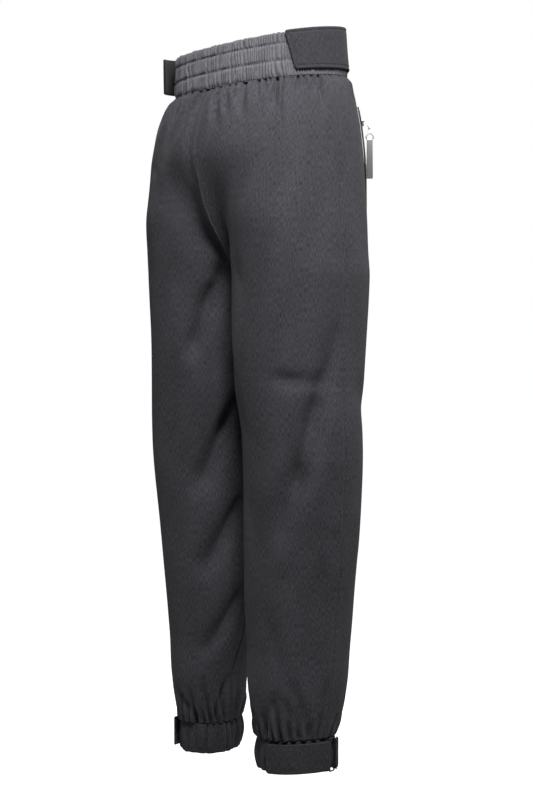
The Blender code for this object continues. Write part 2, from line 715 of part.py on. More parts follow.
def bail_curve(name):
    """The stirrup that carries the pull: up from the slider, out and down to its cross bar."""
    bar_out = HINGE_OUT - ZIP_LIFT - ZIP_THICKNESS
    half = BAIL_HALF_WIDTH
    stations = (
        (SLIDER_DEPTH / 2, BAIL_FOOT_UP),
        (SLIDER_DEPTH + BAIL_SHOULDER_OUT, BAIL_SHOULDER_UP),
        (bar_out - BAIL_KNEE_IN, BAIL_KNEE_UP - HINGE_DROP),
        (bar_out, -HINGE_DROP),
    )
    points = [(-half, out, up) for out, up in stations]
    points += [(half, out, up) for out, up in reversed(stations)]
    data = bpy.data.curves.new(name, "CURVE")
    data.dimensions = "3D"
    data.bevel_depth = HINGE_WIRE
    data.bevel_resolution = 1
    data.use_fill_caps = True
    line = data.splines.new("POLY")
    line.points.add(len(points) - 1)
    for point, place in zip(line.points, points):
        point.co = (*place, 1.0)
    return data


def curve_to_mesh(obj, name):
    """The curve's solid as a mesh object with its caps welded on."""
    graph = bpy.context.evaluated_depsgraph_get()
    mesh = bpy.data.meshes.new_from_object(obj.evaluated_get(graph))
    mesh.name = name
    bm = bmesh.new()
    bm.from_mesh(mesh)
    bmesh.ops.remove_doubles(bm, verts=bm.verts, dist=1e-6)
    bmesh.ops.recalc_face_normals(bm, faces=bm.faces)
    bm.to_mesh(mesh)
    bm.free()
    made = bpy.data.objects.new(name, mesh)
    made.matrix_world = obj.matrix_world.copy()
    return made


def make_slider(side, frame, seat, collection, helpers):
    bm = bmesh.new()
    bmesh.ops.create_cube(bm, size=1.0)
    size = (SLIDER_WIDTH, SLIDER_DEPTH, SLIDER_LENGTH)
    bmesh.ops.scale(bm, vec=size, verts=bm.verts)
    bmesh.ops.translate(bm, vec=(0.0, SLIDER_DEPTH / 2, 0.0), verts=bm.verts)
    narrow = [v for v in bm.verts if v.co.z < 0]
    bmesh.ops.scale(bm, vec=(SLIDER_FOOT, 1.0, 1.0), verts=narrow)
    bmesh.ops.bevel(bm, geom=bm.edges[:], offset=SLIDER_EDGE, segments=2, profile=0.5, affect="EDGES")
    mesh = bpy.data.meshes.new(f"zip_slider_{side}")
    bm.to_mesh(mesh)
    bm.free()
    slider = add_object(mesh.name, mesh, silver(), collection)
    slider.matrix_world = seat
    guide = bpy.data.objects.new("bail_guide", bail_curve("bail_guide"))
    collection.objects.link(guide)
    guide.matrix_world = frame
    bpy.context.view_layer.update()
    bail = curve_to_mesh(guide, f"bail_{side}")
    bpy.data.objects.remove(guide, do_unlink=True)
    helpers.objects.link(bail)
    bail.hide_render = True
    bail.display_type = "WIRE"
    joined = slider.modifiers.new("bail", "BOOLEAN")
    joined.operation = "UNION"
    joined.solver = "EXACT"
    joined.object = bail


def arc(centre, radius, start, end, steps):
    angles = np.radians(np.linspace(start, end, steps))
    return [(centre[0] + radius * math.cos(a), centre[1] + radius * math.sin(a)) for a in angles]


def pull_outline():
    """The pull's edge, anticlockwise from the ring's lower right, with the hinge at (0, 0)."""
    ring = (0.0, -PULL_RING_DROP)
    joint = math.degrees(math.acos(PULL_NECK / RING_OUTER))
    foot = math.degrees(math.acos(PLATE_TOP_HALF / RING_OUTER))
    bottom = -PULL_RING_DROP - RING_OUTER * math.sin(math.radians(foot)) - PLATE_LENGTH
    corner = PLATE_CORNER
    edge = arc(ring, RING_OUTER, -foot, joint, 9)
    edge += arc((0.0, 0.0), PULL_NECK, 0.0, 180.0, 9)
    edge += arc(ring, RING_OUTER, 180.0 - joint, 180.0 + foot, 9)
    left = (-PLATE_BOTTOM_HALF + corner, bottom + corner)
    right = (PLATE_BOTTOM_HALF - corner, bottom + corner)
    edge += arc(left, corner, 180.0, 270.0, 4)
    edge += arc(right, corner, 270.0, 360.0, 4)
    return edge


def make_pull(side, frame, collection):
    """Neck, ring and plate in one sheet, in the plane that holds the outward and the upward axis."""
    data = bpy.data.curves.new(f"zip_pull_{side}", "CURVE")
    data.dimensions = "2D"
    data.fill_mode = "BOTH"
    data.extrude = PULL_THICKNESS / 2
    eye = arc((0.0, 0.0), PULL_HOLE, 0.0, 330.0, 12)
    window = arc((0.0, -PULL_RING_DROP), RING_INNER, 0.0, 345.0, 24)
    for outline in (pull_outline(), eye, window):
        line = data.splines.new("POLY")
        line.points.add(len(outline) - 1)
        for point, (u, v) in zip(line.points, outline):
            point.co = (u, v, 0.0, 1.0)
        line.use_cyclic_u = True
    pull = add_object(data.name, data, silver(), collection)
    across, out, up = (frame.col[i].to_3d() for i in range(3))
    hinge = frame.translation + out * (HINGE_OUT - ZIP_LIFT - ZIP_THICKNESS) - up * HINGE_DROP
    place = Matrix((out, up, out.cross(up))).transposed().to_4x4()
    place.translation = hinge
    pull.matrix_world = place


def make_zips(grids, collection, helpers):
    for side, _ in SIDES:
        make_zip(side, grids, collection)
        frame, seat = zip_frames(side, grids)
        make_slider(side, frame, seat, collection, helpers)
        make_pull(side, frame, collection)


def main():
    clear_scene()
    joggers = bpy.data.collections.new("joggers")
    helpers = bpy.data.collections.new("helpers")
    for collection in (joggers, helpers):
        bpy.context.scene.collection.children.link(collection)
    grids = make_panels(joggers)
    make_elastic(joggers)
    make_front_band(joggers)
    make_waist_tabs(joggers)
    make_cuffs(joggers)
    make_straps(joggers)
    make_rings(joggers)
    make_zips(grids, joggers, helpers)


main()
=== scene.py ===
# %% [markdown]
# # Woven joggers with an elastic back waist
#
# This lesson dresses a finished CAD part. The part has the right size and the right walls, and here each wall
# gets the cloth, the folds, the sewing and the metal that a person would see. Every piece of cloth starts as
# a flat grid and is bent round the same level sections as the part, so it stays on its solid.

import math

import bmesh
import bpy
import numpy as np
from mathutils import Matrix, Vector, noise


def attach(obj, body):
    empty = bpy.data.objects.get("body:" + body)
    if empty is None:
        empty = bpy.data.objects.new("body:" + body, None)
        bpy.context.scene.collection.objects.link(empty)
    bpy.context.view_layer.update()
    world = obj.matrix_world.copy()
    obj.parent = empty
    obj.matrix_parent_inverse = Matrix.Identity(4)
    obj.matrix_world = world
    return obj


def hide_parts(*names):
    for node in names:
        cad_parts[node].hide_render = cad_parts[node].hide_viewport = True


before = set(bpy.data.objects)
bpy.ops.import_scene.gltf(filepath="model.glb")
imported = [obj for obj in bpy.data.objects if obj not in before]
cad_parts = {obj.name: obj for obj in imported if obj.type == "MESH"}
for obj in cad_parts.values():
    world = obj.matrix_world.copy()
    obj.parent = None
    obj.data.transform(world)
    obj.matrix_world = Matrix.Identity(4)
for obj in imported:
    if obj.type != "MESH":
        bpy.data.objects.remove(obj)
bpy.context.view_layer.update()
BODY = "joggers"

# %% [markdown]
# ## The form of the garment
#
# Joggers are tubes that open and close on the way down. I describe them by level sections: how far out, in,
# forward and back the cloth stands at a height, and how far the toe side turns out. A smooth curve through
# these few numbers gives every height between them.

# %% Level sections, in metres
BAND_TOP, WAIST_SEAM, CROTCH, CUFF_SEAM, HEM = 0.029, -0.032, -0.300, -0.934, -0.977
SECTIONS = np.array(
    # height, outer, inner, front, back, turn in degrees
    (
        (BAND_TOP, 0.133, 0, -0.071, 0.102, 0), (WAIST_SEAM, 0.136, 0, -0.079, 0.103, 0),
        (-0.042, 0.143, 0, -0.086, 0.113, 0), (-0.054, 0.1475, 0, -0.089, 0.121, 0),
        (-0.076, 0.1535, 0, -0.093, 0.131, 0), (-0.099, 0.158, 0, -0.097, 0.137, 0),
        (-0.137, 0.161, 0, -0.101, 0.143, 0), (-0.200, 0.163, 0, -0.096, 0.140, 0),
        (-0.262, 0.167, 0, -0.085, 0.125, 0), (CROTCH, 0.170, 0.001, -0.081, 0.118, 0),
        (-0.390, 0.168, 0.002, -0.074, 0.115, 0), (-0.436, 0.169, 0.004, -0.068, 0.112, 0),
        (-0.527, 0.172, 0.014, -0.060, 0.104, 3), (-0.655, 0.163, 0.013, -0.061, 0.098, 8),
        (-0.739, 0.153, 0.015, -0.056, 0.096, 14), (-0.807, 0.146, 0.023, -0.049, 0.094, 20),
        (-0.862, 0.140, 0.037, -0.042, 0.099, 25), (-0.910, 0.132, 0.042, -0.037, 0.091, 25),
        (CUFF_SEAM, 0.127, 0.045, -0.027, 0.083, 25),
    )
)
# The waistband hangs lower at the left and at the back: height, then the rise for each metre along X and Y.
TILTS = np.array(((BAND_TOP, -0.078, -0.105), (WAIST_SEAM, -0.059, -0.055), (-0.250, 0.0, 0.0)))
SQUARING = 2.0 / 2.25


def curve_through(table, column, height):
    """A table's column at these heights, on a curve that never swings past its numbers."""
    x, y = -table[:, 0], table[:, column]
    at = np.clip(-np.asarray(height, float), x[0], x[-1])
    step, rise = np.diff(x), np.diff(y) / np.diff(x)
    slope = np.zeros(len(x))
    same = rise[1:] * rise[:-1] > 0
    slope[1:-1] = np.where(same, 2 * rise[1:] * rise[:-1] / np.where(same, rise[1:] + rise[:-1], 1.0), 0.0)
    slope[0], slope[-1] = rise[0], rise[-1]
    i = np.clip(np.searchsorted(x, at, side="right") - 1, 0, len(step) - 1)
    t = (at - x[i]) / step[i]
    start = (1 + 2 * t) * (1 - t) ** 2 * y[i] + t * (1 - t) ** 2 * step[i] * slope[i]
    return start + t * t * (3 - 2 * t) * y[i + 1] + t * t * (t - 1) * step[i] * slope[i + 1]


def section_at(height):
    """How far out, in, forward and back the cloth stands, and its turn."""
    return [curve_through(SECTIONS, column, height) for column in range(1, 6)]


def squared(values):
    """Makes a circle's coordinates slightly squared."""
    return np.sign(values) * np.abs(values) ** SQUARING


def soft_step(value, start, end):
    """0 at start, 1 at end, and smooth between."""
    t = np.clip((value - start) / (end - start), 0.0, 1.0)
    return t * t * (3 - 2 * t)


def bell(distance, half_width):
    """1 at no distance, and close to 0 from two half-widths on."""
    return np.exp(-((distance / half_width) ** 2))


def with_tilt(plan, height):
    """Gives points in plan their height, with the waistband's tilt."""
    along_x, along_y = (curve_through(TILTS, i, height) for i in (1, 2))
    return np.column_stack([plan, height + along_x * plan[:, 0] + along_y * plan[:, 1]])


def level(plan):
    """Directions in plan as directions in space."""
    return np.column_stack([plan, np.zeros(len(plan))])


def unit(directions):
    """The same directions, each of length 1."""
    return directions / np.linalg.norm(directions, axis=1)[:, None]


def sideways(along):
    """Directions in plan, turned a quarter turn to the right."""
    return np.stack([along[:, 1], -along[:, 0]], axis=1)


def metres_gone(line):
    """How far along a line each of its points lies."""
    return np.concatenate([[0.0], np.cumsum(np.linalg.norm(np.diff(line, axis=0), axis=1))])


def read_along(at, gone, values):
    """Each column of the values, read where a line has gone this far."""
    return np.stack([np.interp(at, gone, column) for column in values.T], axis=1)


print("sections from", BAND_TOP, "down to", CUFF_SEAM)

# %% [markdown]
# ## Panels in plan
#
# Each leg is cut as a front and a back panel. Above the crotch the two backs meet on the centre seam, and
# below it each panel runs round to the inseam. A point is given by its share of the panel, 0 at the outseam
# and 1 at the inner edge, and its height. I work out the right leg and mirror it for the left.

# %% Where a share of a panel lies
FACING = {"front": -1.0, "back": 1.0}
# What the right leg's plan is multiplied by on each side.
SIDES = {"left": np.array((-1.0, 1.0)), "right": np.array((1.0, 1.0))}
RISE_START = -0.095


def leg_plan(share, height, facing):
    """Points of the right leg's closed section."""
    outer, inner, front, back, turn = section_at(height)
    turn = -np.radians(turn)
    angle = share * np.pi + facing * turn
    x = -(outer - inner) / 2 * squared(np.cos(angle))
    y = facing * (back - front) / 2 * squared(np.sin(angle))
    across = -(outer + inner) / 2 + x * np.cos(turn) - y * np.sin(turn)
    return np.stack([across, (front + back) / 2 + x * np.sin(turn) + y * np.cos(turn)], axis=-1)


def panel_plan(face, share, height):
    """Points of a right panel in plan: half the seat above, half the leg below."""
    facing = FACING[face]
    outer, _, front, back, _ = section_at(height)
    angle = share * np.pi / 2
    seat_y = (front + back) / 2 + facing * (back - front) / 2 * squared(np.sin(angle))
    seat = np.stack([-outer * squared(np.cos(angle)), seat_y], axis=-1)
    drop = np.clip((RISE_START - height) / (RISE_START - CROTCH), 0.0, 1.0)
    at_seam, at_side = 1 - np.sqrt(1 - drop**2), drop**2 * (3 - 2 * drop)
    blend = (at_side + (at_seam - at_side) * share**10)[:, None]
    return (1 - blend) * seat + blend * leg_plan(share, height, facing)


def outward_in_plan(face, share, height):
    """Unit directions out of the panel, in plan."""
    step = 2e-3
    ahead, behind = np.minimum(share + step, 1.0), np.maximum(share - step, 0.0)
    along = panel_plan(face, ahead, height) - panel_plan(face, behind, height)
    return -FACING[face] * sideways(unit(along))


def widths(face):
    """Heights and the panel's width there, to turn shares into metres."""
    heights = np.linspace(WAIST_SEAM, CUFF_SEAM, 60)
    share = np.linspace(0.0, 1.0, 121)
    found = []
    for height in heights:
        points = panel_plan(face, share, np.full(len(share), height))
        found.append(np.linalg.norm(np.diff(points, axis=0), axis=1).sum())
    return heights, np.array(found)


WIDTHS = {face: widths(face) for face in FACING}


def width_at(face, height):
    """The panel's width at these heights, in metres."""
    heights, found = WIDTHS[face]
    return np.interp(-np.asarray(height), -heights, found)


print("a back panel is %.3f m wide at the seat" % width_at("back", -0.15))

# %% [markdown]
# ## Folds and creases
#
# Cloth that is cut wider than the body under it falls in folds. The largest are in the solids, and the same
# rows are here, with finer ones between. Each is a soft trough along a short line, or a ridge where its depth
# is below zero. They are uneven on purpose, because evenly spaced folds look printed.

# %% Tables of folds: height and share of the upper end and of the lower end, depth, half-width, in mm
MM = 0.001
FOLDS = {
    "back_right": (
        (-375, 0.02, -475, 0.14, 3.5, 17), (-475, 0.14, -574, 0.27, 5.5, 18),
        (-574, 0.27, -640, 0.36, 4.5, 18), (-550, 0.1, -680, 0.33, -3.5, 20),
        (-440, 0.15, -442, 0.3, 3.5, 12), (-315, 0.92, -375, 0.8, 4, 15),
    ),
    "back_left": (
        (-300, 0.86, -390, 0.66, 5, 18), (-470, 0.95, -580, 0.74, 6, 18), (-620, 0.94, -700, 0.7, 5, 18),
        (-750, 0.92, -820, 0.72, 4, 16), (-50, 0.92, -130, 0.7, 3, 12), (-60, 0.78, -140, 0.56, 2.5, 12),
    ),
    "front_right": (
        (-455, 0.14, -500, 0.38, 2.8, 20), (-560, 0.8, -640, 0.55, 4, 18), (-300, 0.85, -250, 0.55, 4, 18),
        (-760, 0.75, -830, 0.5, 3.5, 16),
    ),
    "front_left": (
        (-455, 0.08, -490, 0.34, 4, 18), (-575, 0.82, -660, 0.55, 4, 18), (-300, 0.86, -240, 0.52, 4, 18),
        (-740, 0.7, -810, 0.45, 3.5, 16),
    ),
}
# Finer creases, which fade out at both ends.
CREASES = {
    "back_right": (
        (-436, 0.4, -434, 0.22, 3.2, 10), (-372, -0.02, -455, 0.11, 4, 16),
        (-425, 0.07, -512, 0.21, 5.2, 16), (-478, 0.16, -578, 0.31, 6, 16), (-542, 0.26, -625, 0.37, 5, 16),
        (-855, 0.235, -931, 0.125, 5.2, 6.5), (-855, 0.03, -931, 0.02, 5, 6.5),
        (-878, 0.285, -931, 0.24, 4.5, 5.5), (-868, 0.36, -930, 0.5, 4.5, 6.5),
        (-885, 0.74, -930, 0.64, 4.5, 6), (-540, 0.36, -600, 0.46, -2.5, 14),
        (-644, 0.06, -694, 0.01, 2, 6), (-600, 0.62, -690, 0.5, 2.2, 14), (-205, 0.66, -320, 0.58, 2.2, 14),
        (-390, 0.74, -520, 0.62, 2.6, 13), (-330, 0.3, -430, 0.22, 2, 14), (-760, 0.46, -850, 0.3, 2, 12),
        (-700, 0.12, -860, 0.18, 2, 11), (-820, 0.8, -890, 0.7, 2.2, 10),
    ),
    "back_left": (
        (-278, 0.88, -336, 0.725, 9.5, 13), (-320, 0.755, -402, 0.64, 8.5, 13),
        (-445, 0.99, -515, 0.875, 14, 15), (-497, 0.9, -590, 0.66, 10.5, 14),
        (-615, 0.96, -705, 0.7, 9, 14), (-745, 0.97, -820, 0.74, 7, 12), (-380, 0.98, -440, 0.88, 3.5, 12),
        (-540, 0.6, -620, 0.4, 2, 14), (-36, 0.985, -155, 0.935, 4, 7.5),
        (-36, 0.915, -92, 0.825, 4.2, 7.5), (-36, 0.745, -118, 0.735, 3.6, 8),
        (-885, 0.46, -930, 0.68, 5, 6.5), (-868, 0.735, -931, 0.735, 4.8, 5.5),
        (-870, 0.965, -930, 0.83, 5.6, 6.5), (-880, 0.2, -930, 0.3, 4.5, 6), (-150, 0.8, -240, 0.52, 2, 14),
        (-420, 0.55, -520, 0.4, 1.8, 14),
    ),
    "front_right": (
        (-285, 0.92, -215, 0.6, 3.6, 9), (-320, 0.95, -370, 0.7, 3.4, 10),
        (-590, 0.88, -665, 0.62, 2.8, 11), (-690, 0.3, -800, 0.44, 2.2, 12),
        (-872, 0.36, -930, 0.24, 4.8, 6.2), (-882, 0.66, -930, 0.78, 4.5, 6),
    ),
    "front_left": (
        (-450, 0.24, -505, 0.52, 3.2, 10), (-290, 0.94, -205, 0.62, 3.6, 9),
        (-325, 0.94, -385, 0.68, 3.4, 10), (-610, 0.9, -695, 0.6, 2.8, 11),
        (-660, 0.24, -780, 0.4, 2.2, 12), (-868, 0.3, -930, 0.42, 4.8, 6.2),
        (-884, 0.74, -930, 0.62, 4.5, 6),
    ),
}


def trough(panel, share, height, table, fading):
    """How far a table's folds push each point in. Fading ones are shallow at both ends."""
    width = width_at(panel.split("_")[0], height)
    total = np.zeros(len(share))
    for high_z, high_share, low_z, low_share, depth, half_width in table[panel]:
        start = np.stack([high_share * width, np.full(len(share), high_z * MM)], axis=1)
        drop = np.full(len(share), (low_z - high_z) * MM)
        along = np.stack([(low_share - high_share) * width, drop], axis=1)
        point = np.stack([share * width, height], axis=1) - start
        t = (point * along).sum(axis=1) / (along * along).sum(axis=1)
        end = np.clip(t, 0.0, 1.0)
        shape = bell(np.linalg.norm(point - end[:, None] * along, axis=1), half_width * MM)
        if fading:
            shape = shape * np.clip(4 * (end + 0.08) * (1.08 - end), 0.0, 1.0) ** 0.7
        total += depth * MM * shape
    return total


print(sum(map(len, FOLDS.values())), "folds and", sum(map(len, CREASES.values())), "creases")

# %% [markdown]
# ## Gathers
#
# Where a wide panel is sewn to a shorter band, the extra cloth stands up in small furrows, deep and narrow at
# the seam, then shallow and wide until they fade. Each row of the tables is one furrow, and no two are alike.

# %% Tables of gathers: share at the seam, lean, then length, half-width and depth in mm
GATHERS = {
    "back_right": (
        (0.015, 0.01, 20, 3, 1.6), (0.07, 0.005, 16, 2.8, 1.2), (0.135, -0.02, 54, 4.2, 2.6),
        (0.205, -0.02, 24, 3, 1.8), (0.275, 0, 19, 2.8, 1.8), (0.325, 0, 24, 3, 2.1),
        (0.385, 0.005, 16, 2.6, 1.2), (0.505, -0.01, 46, 3.6, 2.7), (0.56, -0.01, 17, 2.6, 1.4),
        (0.6, -0.015, 24, 3, 2.2), (0.65, -0.03, 32, 3.2, 2.3), (0.76, -0.05, 50, 4.2, 2.8),
        (0.83, -0.05, 30, 3.2, 1.8), (0.885, -0.06, 42, 3.4, 2.2), (0.945, -0.07, 62, 4, 2.8),
    ),
    "back_left": (
        (0.06, 0.01, 30, 3.2, 1.6), (0.14, 0.008, 44, 3.6, 2.2), (0.23, 0.004, 28, 3, 1.6),
        (0.318, 0, 50, 3.6, 2.6), (0.405, -0.006, 26, 3, 1.4), (0.54, -0.012, 40, 3.4, 2.2),
        (0.64, -0.03, 34, 3.2, 1.9), (0.735, -0.02, 52, 3.8, 2.6), (0.82, -0.04, 40, 3.4, 2.2),
        (0.905, -0.04, 66, 4, 2.8), (0.962, -0.06, 36, 3.2, 1.8),
    ),
    "front_right": (
        (0.1, 0.01, 26, 3.2, 1.4), (0.235, 0.004, 34, 3.4, 1.8), (0.52, 0, 28, 3.2, 1.4),
        (0.66, -0.01, 38, 3.6, 1.8), (0.83, -0.012, 30, 3.2, 1.5),
    ),
    "front_left": (
        (0.13, 0.008, 30, 3.2, 1.5), (0.255, 0.004, 26, 3.4, 1.6), (0.5, 0.002, 36, 3.4, 1.7),
        (0.685, -0.008, 28, 3.4, 1.6), (0.86, -0.012, 34, 3.2, 1.6),
    ),
}
CUFF_GATHERS = {
    "back": (
        (0.05, 0.02, 40, 3, 2), (0.12, 0.02, 26, 2.6, 1.4), (0.19, 0.03, 50, 3.2, 2.6),
        (0.27, 0.01, 30, 2.8, 1.8), (0.345, 0.02, 60, 3.4, 3), (0.42, 0, 28, 2.8, 1.6),
        (0.49, -0.01, 46, 3.2, 2.6), (0.565, -0.01, 34, 2.8, 2), (0.63, -0.02, 54, 3.2, 2.8),
        (0.71, -0.02, 30, 2.8, 1.8), (0.78, -0.03, 48, 3.2, 2.4), (0.86, -0.03, 36, 3, 2),
        (0.94, -0.03, 60, 3.4, 3),
    ),
    "front": (
        (0.08, 0.02, 34, 3, 1.8), (0.21, 0.02, 48, 3.2, 2.4), (0.33, 0.01, 30, 2.8, 1.6),
        (0.45, 0, 52, 3.4, 2.6), (0.58, -0.01, 32, 3, 1.8), (0.7, -0.02, 46, 3.2, 2.4),
        (0.82, -0.02, 30, 2.8, 1.6), (0.93, -0.02, 50, 3.2, 2.4),
    ),
}
# How much deeper the furrows are drawn than the tables say, how much narrower they start and how they spread.
WAIST_DEEPER, CUFF_DEEPER, NARROWER, SPREAD = 4.3, 3.4, 0.75, 1.1
# The cloth that stands up beside a furrow, and where. Then the depth at the seam, and where it is full.
LIP, LIP_AT, SEAM_DEPTH, FULL_FROM = 0.35, 2.1, 0.45, 0.006


def gathered(panel, share, height):
    """How far the gathers push each point in."""
    face = panel.split("_")[0]
    width = width_at(face, height)
    total = np.zeros(len(share))
    at_waist = (GATHERS[panel], WAIST_SEAM - height, WAIST_DEEPER)
    at_cuff = (CUFF_GATHERS[face], height - CUFF_SEAM, CUFF_DEEPER)
    for rows, away, deeper in (at_waist, at_cuff):
        grown = SEAM_DEPTH + (1 - SEAM_DEPTH) * soft_step(away, 0.0, FULL_FROM)
        for at, lean, length, half_width, depth in rows:
            down = np.clip(away / (length * MM), 0.0, 1.0)
            wide = NARROWER * half_width * MM * (1 + SPREAD * down)
            aside = np.abs(share - at - lean * down) * width / wide
            furrow = bell(aside, 1.0) - LIP * bell(aside - LIP_AT, 1.0)
            total += deeper * depth * MM * (1 - down) ** 0.8 * grown * furrow
    return total


print(sum(map(len, GATHERS.values())), "gathers at the waist")

# %% [markdown]
# ## The dart, the seams and the slight unevenness
#
# A dart is a wedge of cloth folded away and stitched, which lets a flat panel round the seat. From outside
# only a sharp short groove shows. Along a seam the cloth is pressed in, and in the seat the seam pulls it in
# further. Two sizes of gentle noise keep the rest from looking machined.

# %% Dart, seams and unevenness
DART_SHARE, DART_LEAN, DART_LENGTH, DART_DEPTH, DART_HALF = 0.448, -0.020, 0.078, 0.0034, 0.0012
SHOULDER_RISE, SHOULDER_AT, SHOULDER_HALF = 0.0014, 0.0050, 0.0034
SEAT_PULL, SEAT_HALF, SEAM_GROOVE, SEAM_HALF = 0.0038, 0.0085, 0.0013, 0.0017
WELT_RISE, WELT_AT, WELT_HALF = 0.0004, 0.0055, 0.0026
WAVE_SEEDS = {"back_right": 3.1, "back_left": 17.4, "front_right": 31.9, "front_left": 46.2}


def dart(face, share, height):
    """The dart's groove and the cloth that stands up beside it."""
    if face != "back":
        return np.zeros(len(share))
    down = np.clip((WAIST_SEAM - height) / DART_LENGTH, 0.0, 1.0)
    across = (share - DART_SHARE - DART_LEAN * down) * width_at(face, height)
    groove = DART_DEPTH * bell(across, DART_HALF)
    shoulder = SHOULDER_RISE * bell(across + SHOULDER_AT, SHOULDER_HALF)
    return (groove - shoulder) * np.clip(1.2 * (1 - down), 0.0, 1.0)


def seam_roll(face, share, height):
    """The pressed-in edges along the seams, and the pull of the seat seam."""
    width = width_at(face, height)
    edge = np.minimum(share, 1 - share) * width
    seat = soft_step(-height, 0.01, 0.07) * soft_step(height, -0.29, -0.20) * (face == "back")
    pull = SEAT_PULL * seat * bell((1 - share) * width, SEAT_HALF)
    groove = SEAM_GROOVE * (1 - seat * soft_step(-height, 0.11, 0.15) * (share > 0.5))
    return pull + groove * bell(edge, SEAM_HALF) - WELT_RISE * bell(edge - WELT_AT, WELT_HALF)


def unevenness(panel, share, height, width):
    """Two sizes of gentle waves, as cloth has that was worn or handled."""
    seed = WAVE_SEEDS[panel]
    values = np.empty(len(share))
    for i, (across, z) in enumerate(zip(share * width, height)):
        broad = noise.noise(Vector((across * 11.0, z * 6.0, seed)))
        fine = noise.noise(Vector((across * 34.0, z * 15.0, seed + 5.0)))
        values[i] = 0.0024 * broad + 0.0006 * fine
    return values


print("the dart is", DART_LENGTH, "m long")

# %% [markdown]
# ## Bending a flat grid
#
# bmesh.ops.create_grid makes the flat cloth. Its x and y run from 0 to 1 and say which share and which height
# a point has. A UV map in metres keeps the flat measure, so that the weave follows every fold.
# bmesh.ops.solidify gives the cloth its thickness, and adopt puts the piece on its body and hides the CAD
# nodes it stands for.

# %% Helpers for cloth
CLOTH = 0.0009
FACES_TO_TEST = 400


def flat_grid(columns, rows):
    """A flat grid with a UV layer, and the x and y of its vertices, from 0 to 1."""
    bm = bmesh.new()
    bmesh.ops.create_grid(bm, x_segments=columns, y_segments=rows, size=0.5)
    bmesh.ops.translate(bm, vec=(0.5, 0.5, 0.0), verts=bm.verts)
    bm.loops.layers.uv.new("cloth")
    xy = np.array([v.co[:2] for v in bm.verts])
    return bm, xy[:, 0], xy[:, 1]


def bend(bm, places, uv, outward):
    """Moves the vertices, writes their UV in metres and turns the faces outward."""
    layer = bm.loops.layers.uv.active
    for v, place in zip(bm.verts, places):
        v.co = place
    bm.verts.index_update()
    for face in bm.faces:
        for loop in face.loops:
            loop[layer].uv = uv[loop.vert.index]
    bm.normal_update()
    tested = list(bm.faces)[:: max(1, len(bm.faces) // FACES_TO_TEST)]
    if sum(face.normal.dot(Vector(outward[face.verts[0].index])) for face in tested) < 0:
        bmesh.ops.reverse_faces(bm, faces=bm.faces)


def linked(name, data):
    """A new object in the scene."""
    made = bpy.data.objects.new(name, data)
    bpy.context.scene.collection.objects.link(made)
    return made


def adopt(data, name, finish, nodes, body=BODY):
    """Makes an object that rides on a body and stands for CAD nodes, if any are given."""
    data.materials.append(finish)
    piece = linked(name, data)
    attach(piece, body)
    if nodes:
        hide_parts(*nodes)
    return piece


def new_piece(bm, name, finish, nodes=(), body=BODY):
    """Turns a bmesh into a smooth-shaded piece."""
    mesh = bpy.data.meshes.new(name)
    bm.to_mesh(mesh)
    bm.free()
    mesh.shade_smooth()
    print(name, "has", len(mesh.polygons), "faces")
    return adopt(mesh, name, finish, nodes, body)


def cloth_piece(bm, name, finish, nodes, thickness=CLOTH):
    """Gives the cloth its thickness inwards and makes it a piece."""
    bmesh.ops.solidify(bm, geom=bm.faces[:], thickness=thickness)
    return new_piece(bm, name, finish, nodes)


def cloth_area(piece):
    """Area of one side of a cloth piece, in square metres."""
    return sum(p.area for p in piece.data.polygons) / 2

# %% [markdown]
# ## The cloth's finish
#
# This is a charcoal plain weave with a chambray look: dark and pale threads mixed, so single threads show as
# short streaks. The streaks are noise stretched along each thread direction of the UV map. Two crossed sets
# of fine waves give the weave's bump, and a low sheen stands for its fuzz.

# %% Charcoal cloth
# Scale along and across the cloth and detail of the noise for the warp, the weft and broad clouds of colour.
THREADS = (((1150.0, 150.0, 1.0), 2.0), ((240.0, 1250.0, 1.0), 2.0), ((26.0, 12.0, 1.0), 3.0))
WARP_SHARE, WEFT_SHARE, CLOUD_SHARE, RAMP_REACH, BUMP_DEPTH = 0.58, 0.27, 0.15, 0.22, 0.0003


def new_material(name):
    """A material, its node tree and its shader."""
    made = bpy.data.materials.new(name)
    made.use_nodes = True
    return made, made.node_tree, made.node_tree.nodes["Principled BSDF"]


def math_node(tree, operation, first, second):
    """One step of arithmetic on sockets or numbers."""
    node = tree.nodes.new("ShaderNodeMath")
    node.operation = operation
    for socket, value in zip(node.inputs, (first, second)):
        if isinstance(value, (int, float)):
            socket.default_value = value
        else:
            tree.links.new(value, socket)
    return node.outputs[0]


def stretched_noise(tree, source, scale, detail):
    """Noise drawn out by a different scale along each axis."""
    mapping = tree.nodes.new("ShaderNodeMapping")
    mapping.inputs["Scale"].default_value = scale
    texture = tree.nodes.new("ShaderNodeTexNoise")
    texture.inputs["Scale"].default_value = 1.0
    texture.inputs["Detail"].default_value = detail
    tree.links.new(source, mapping.inputs["Vector"])
    tree.links.new(mapping.outputs["Vector"], texture.inputs["Vector"])
    return texture.outputs["Fac"]


def add_bump(tree, shader, height, strength, distance):
    """Lets a height socket tilt the surface's light."""
    bump = tree.nodes.new("ShaderNodeBump")
    bump.inputs["Strength"].default_value = strength
    bump.inputs["Distance"].default_value = distance
    tree.links.new(height, bump.inputs["Height"])
    tree.links.new(bump.outputs["Normal"], shader.inputs["Normal"])


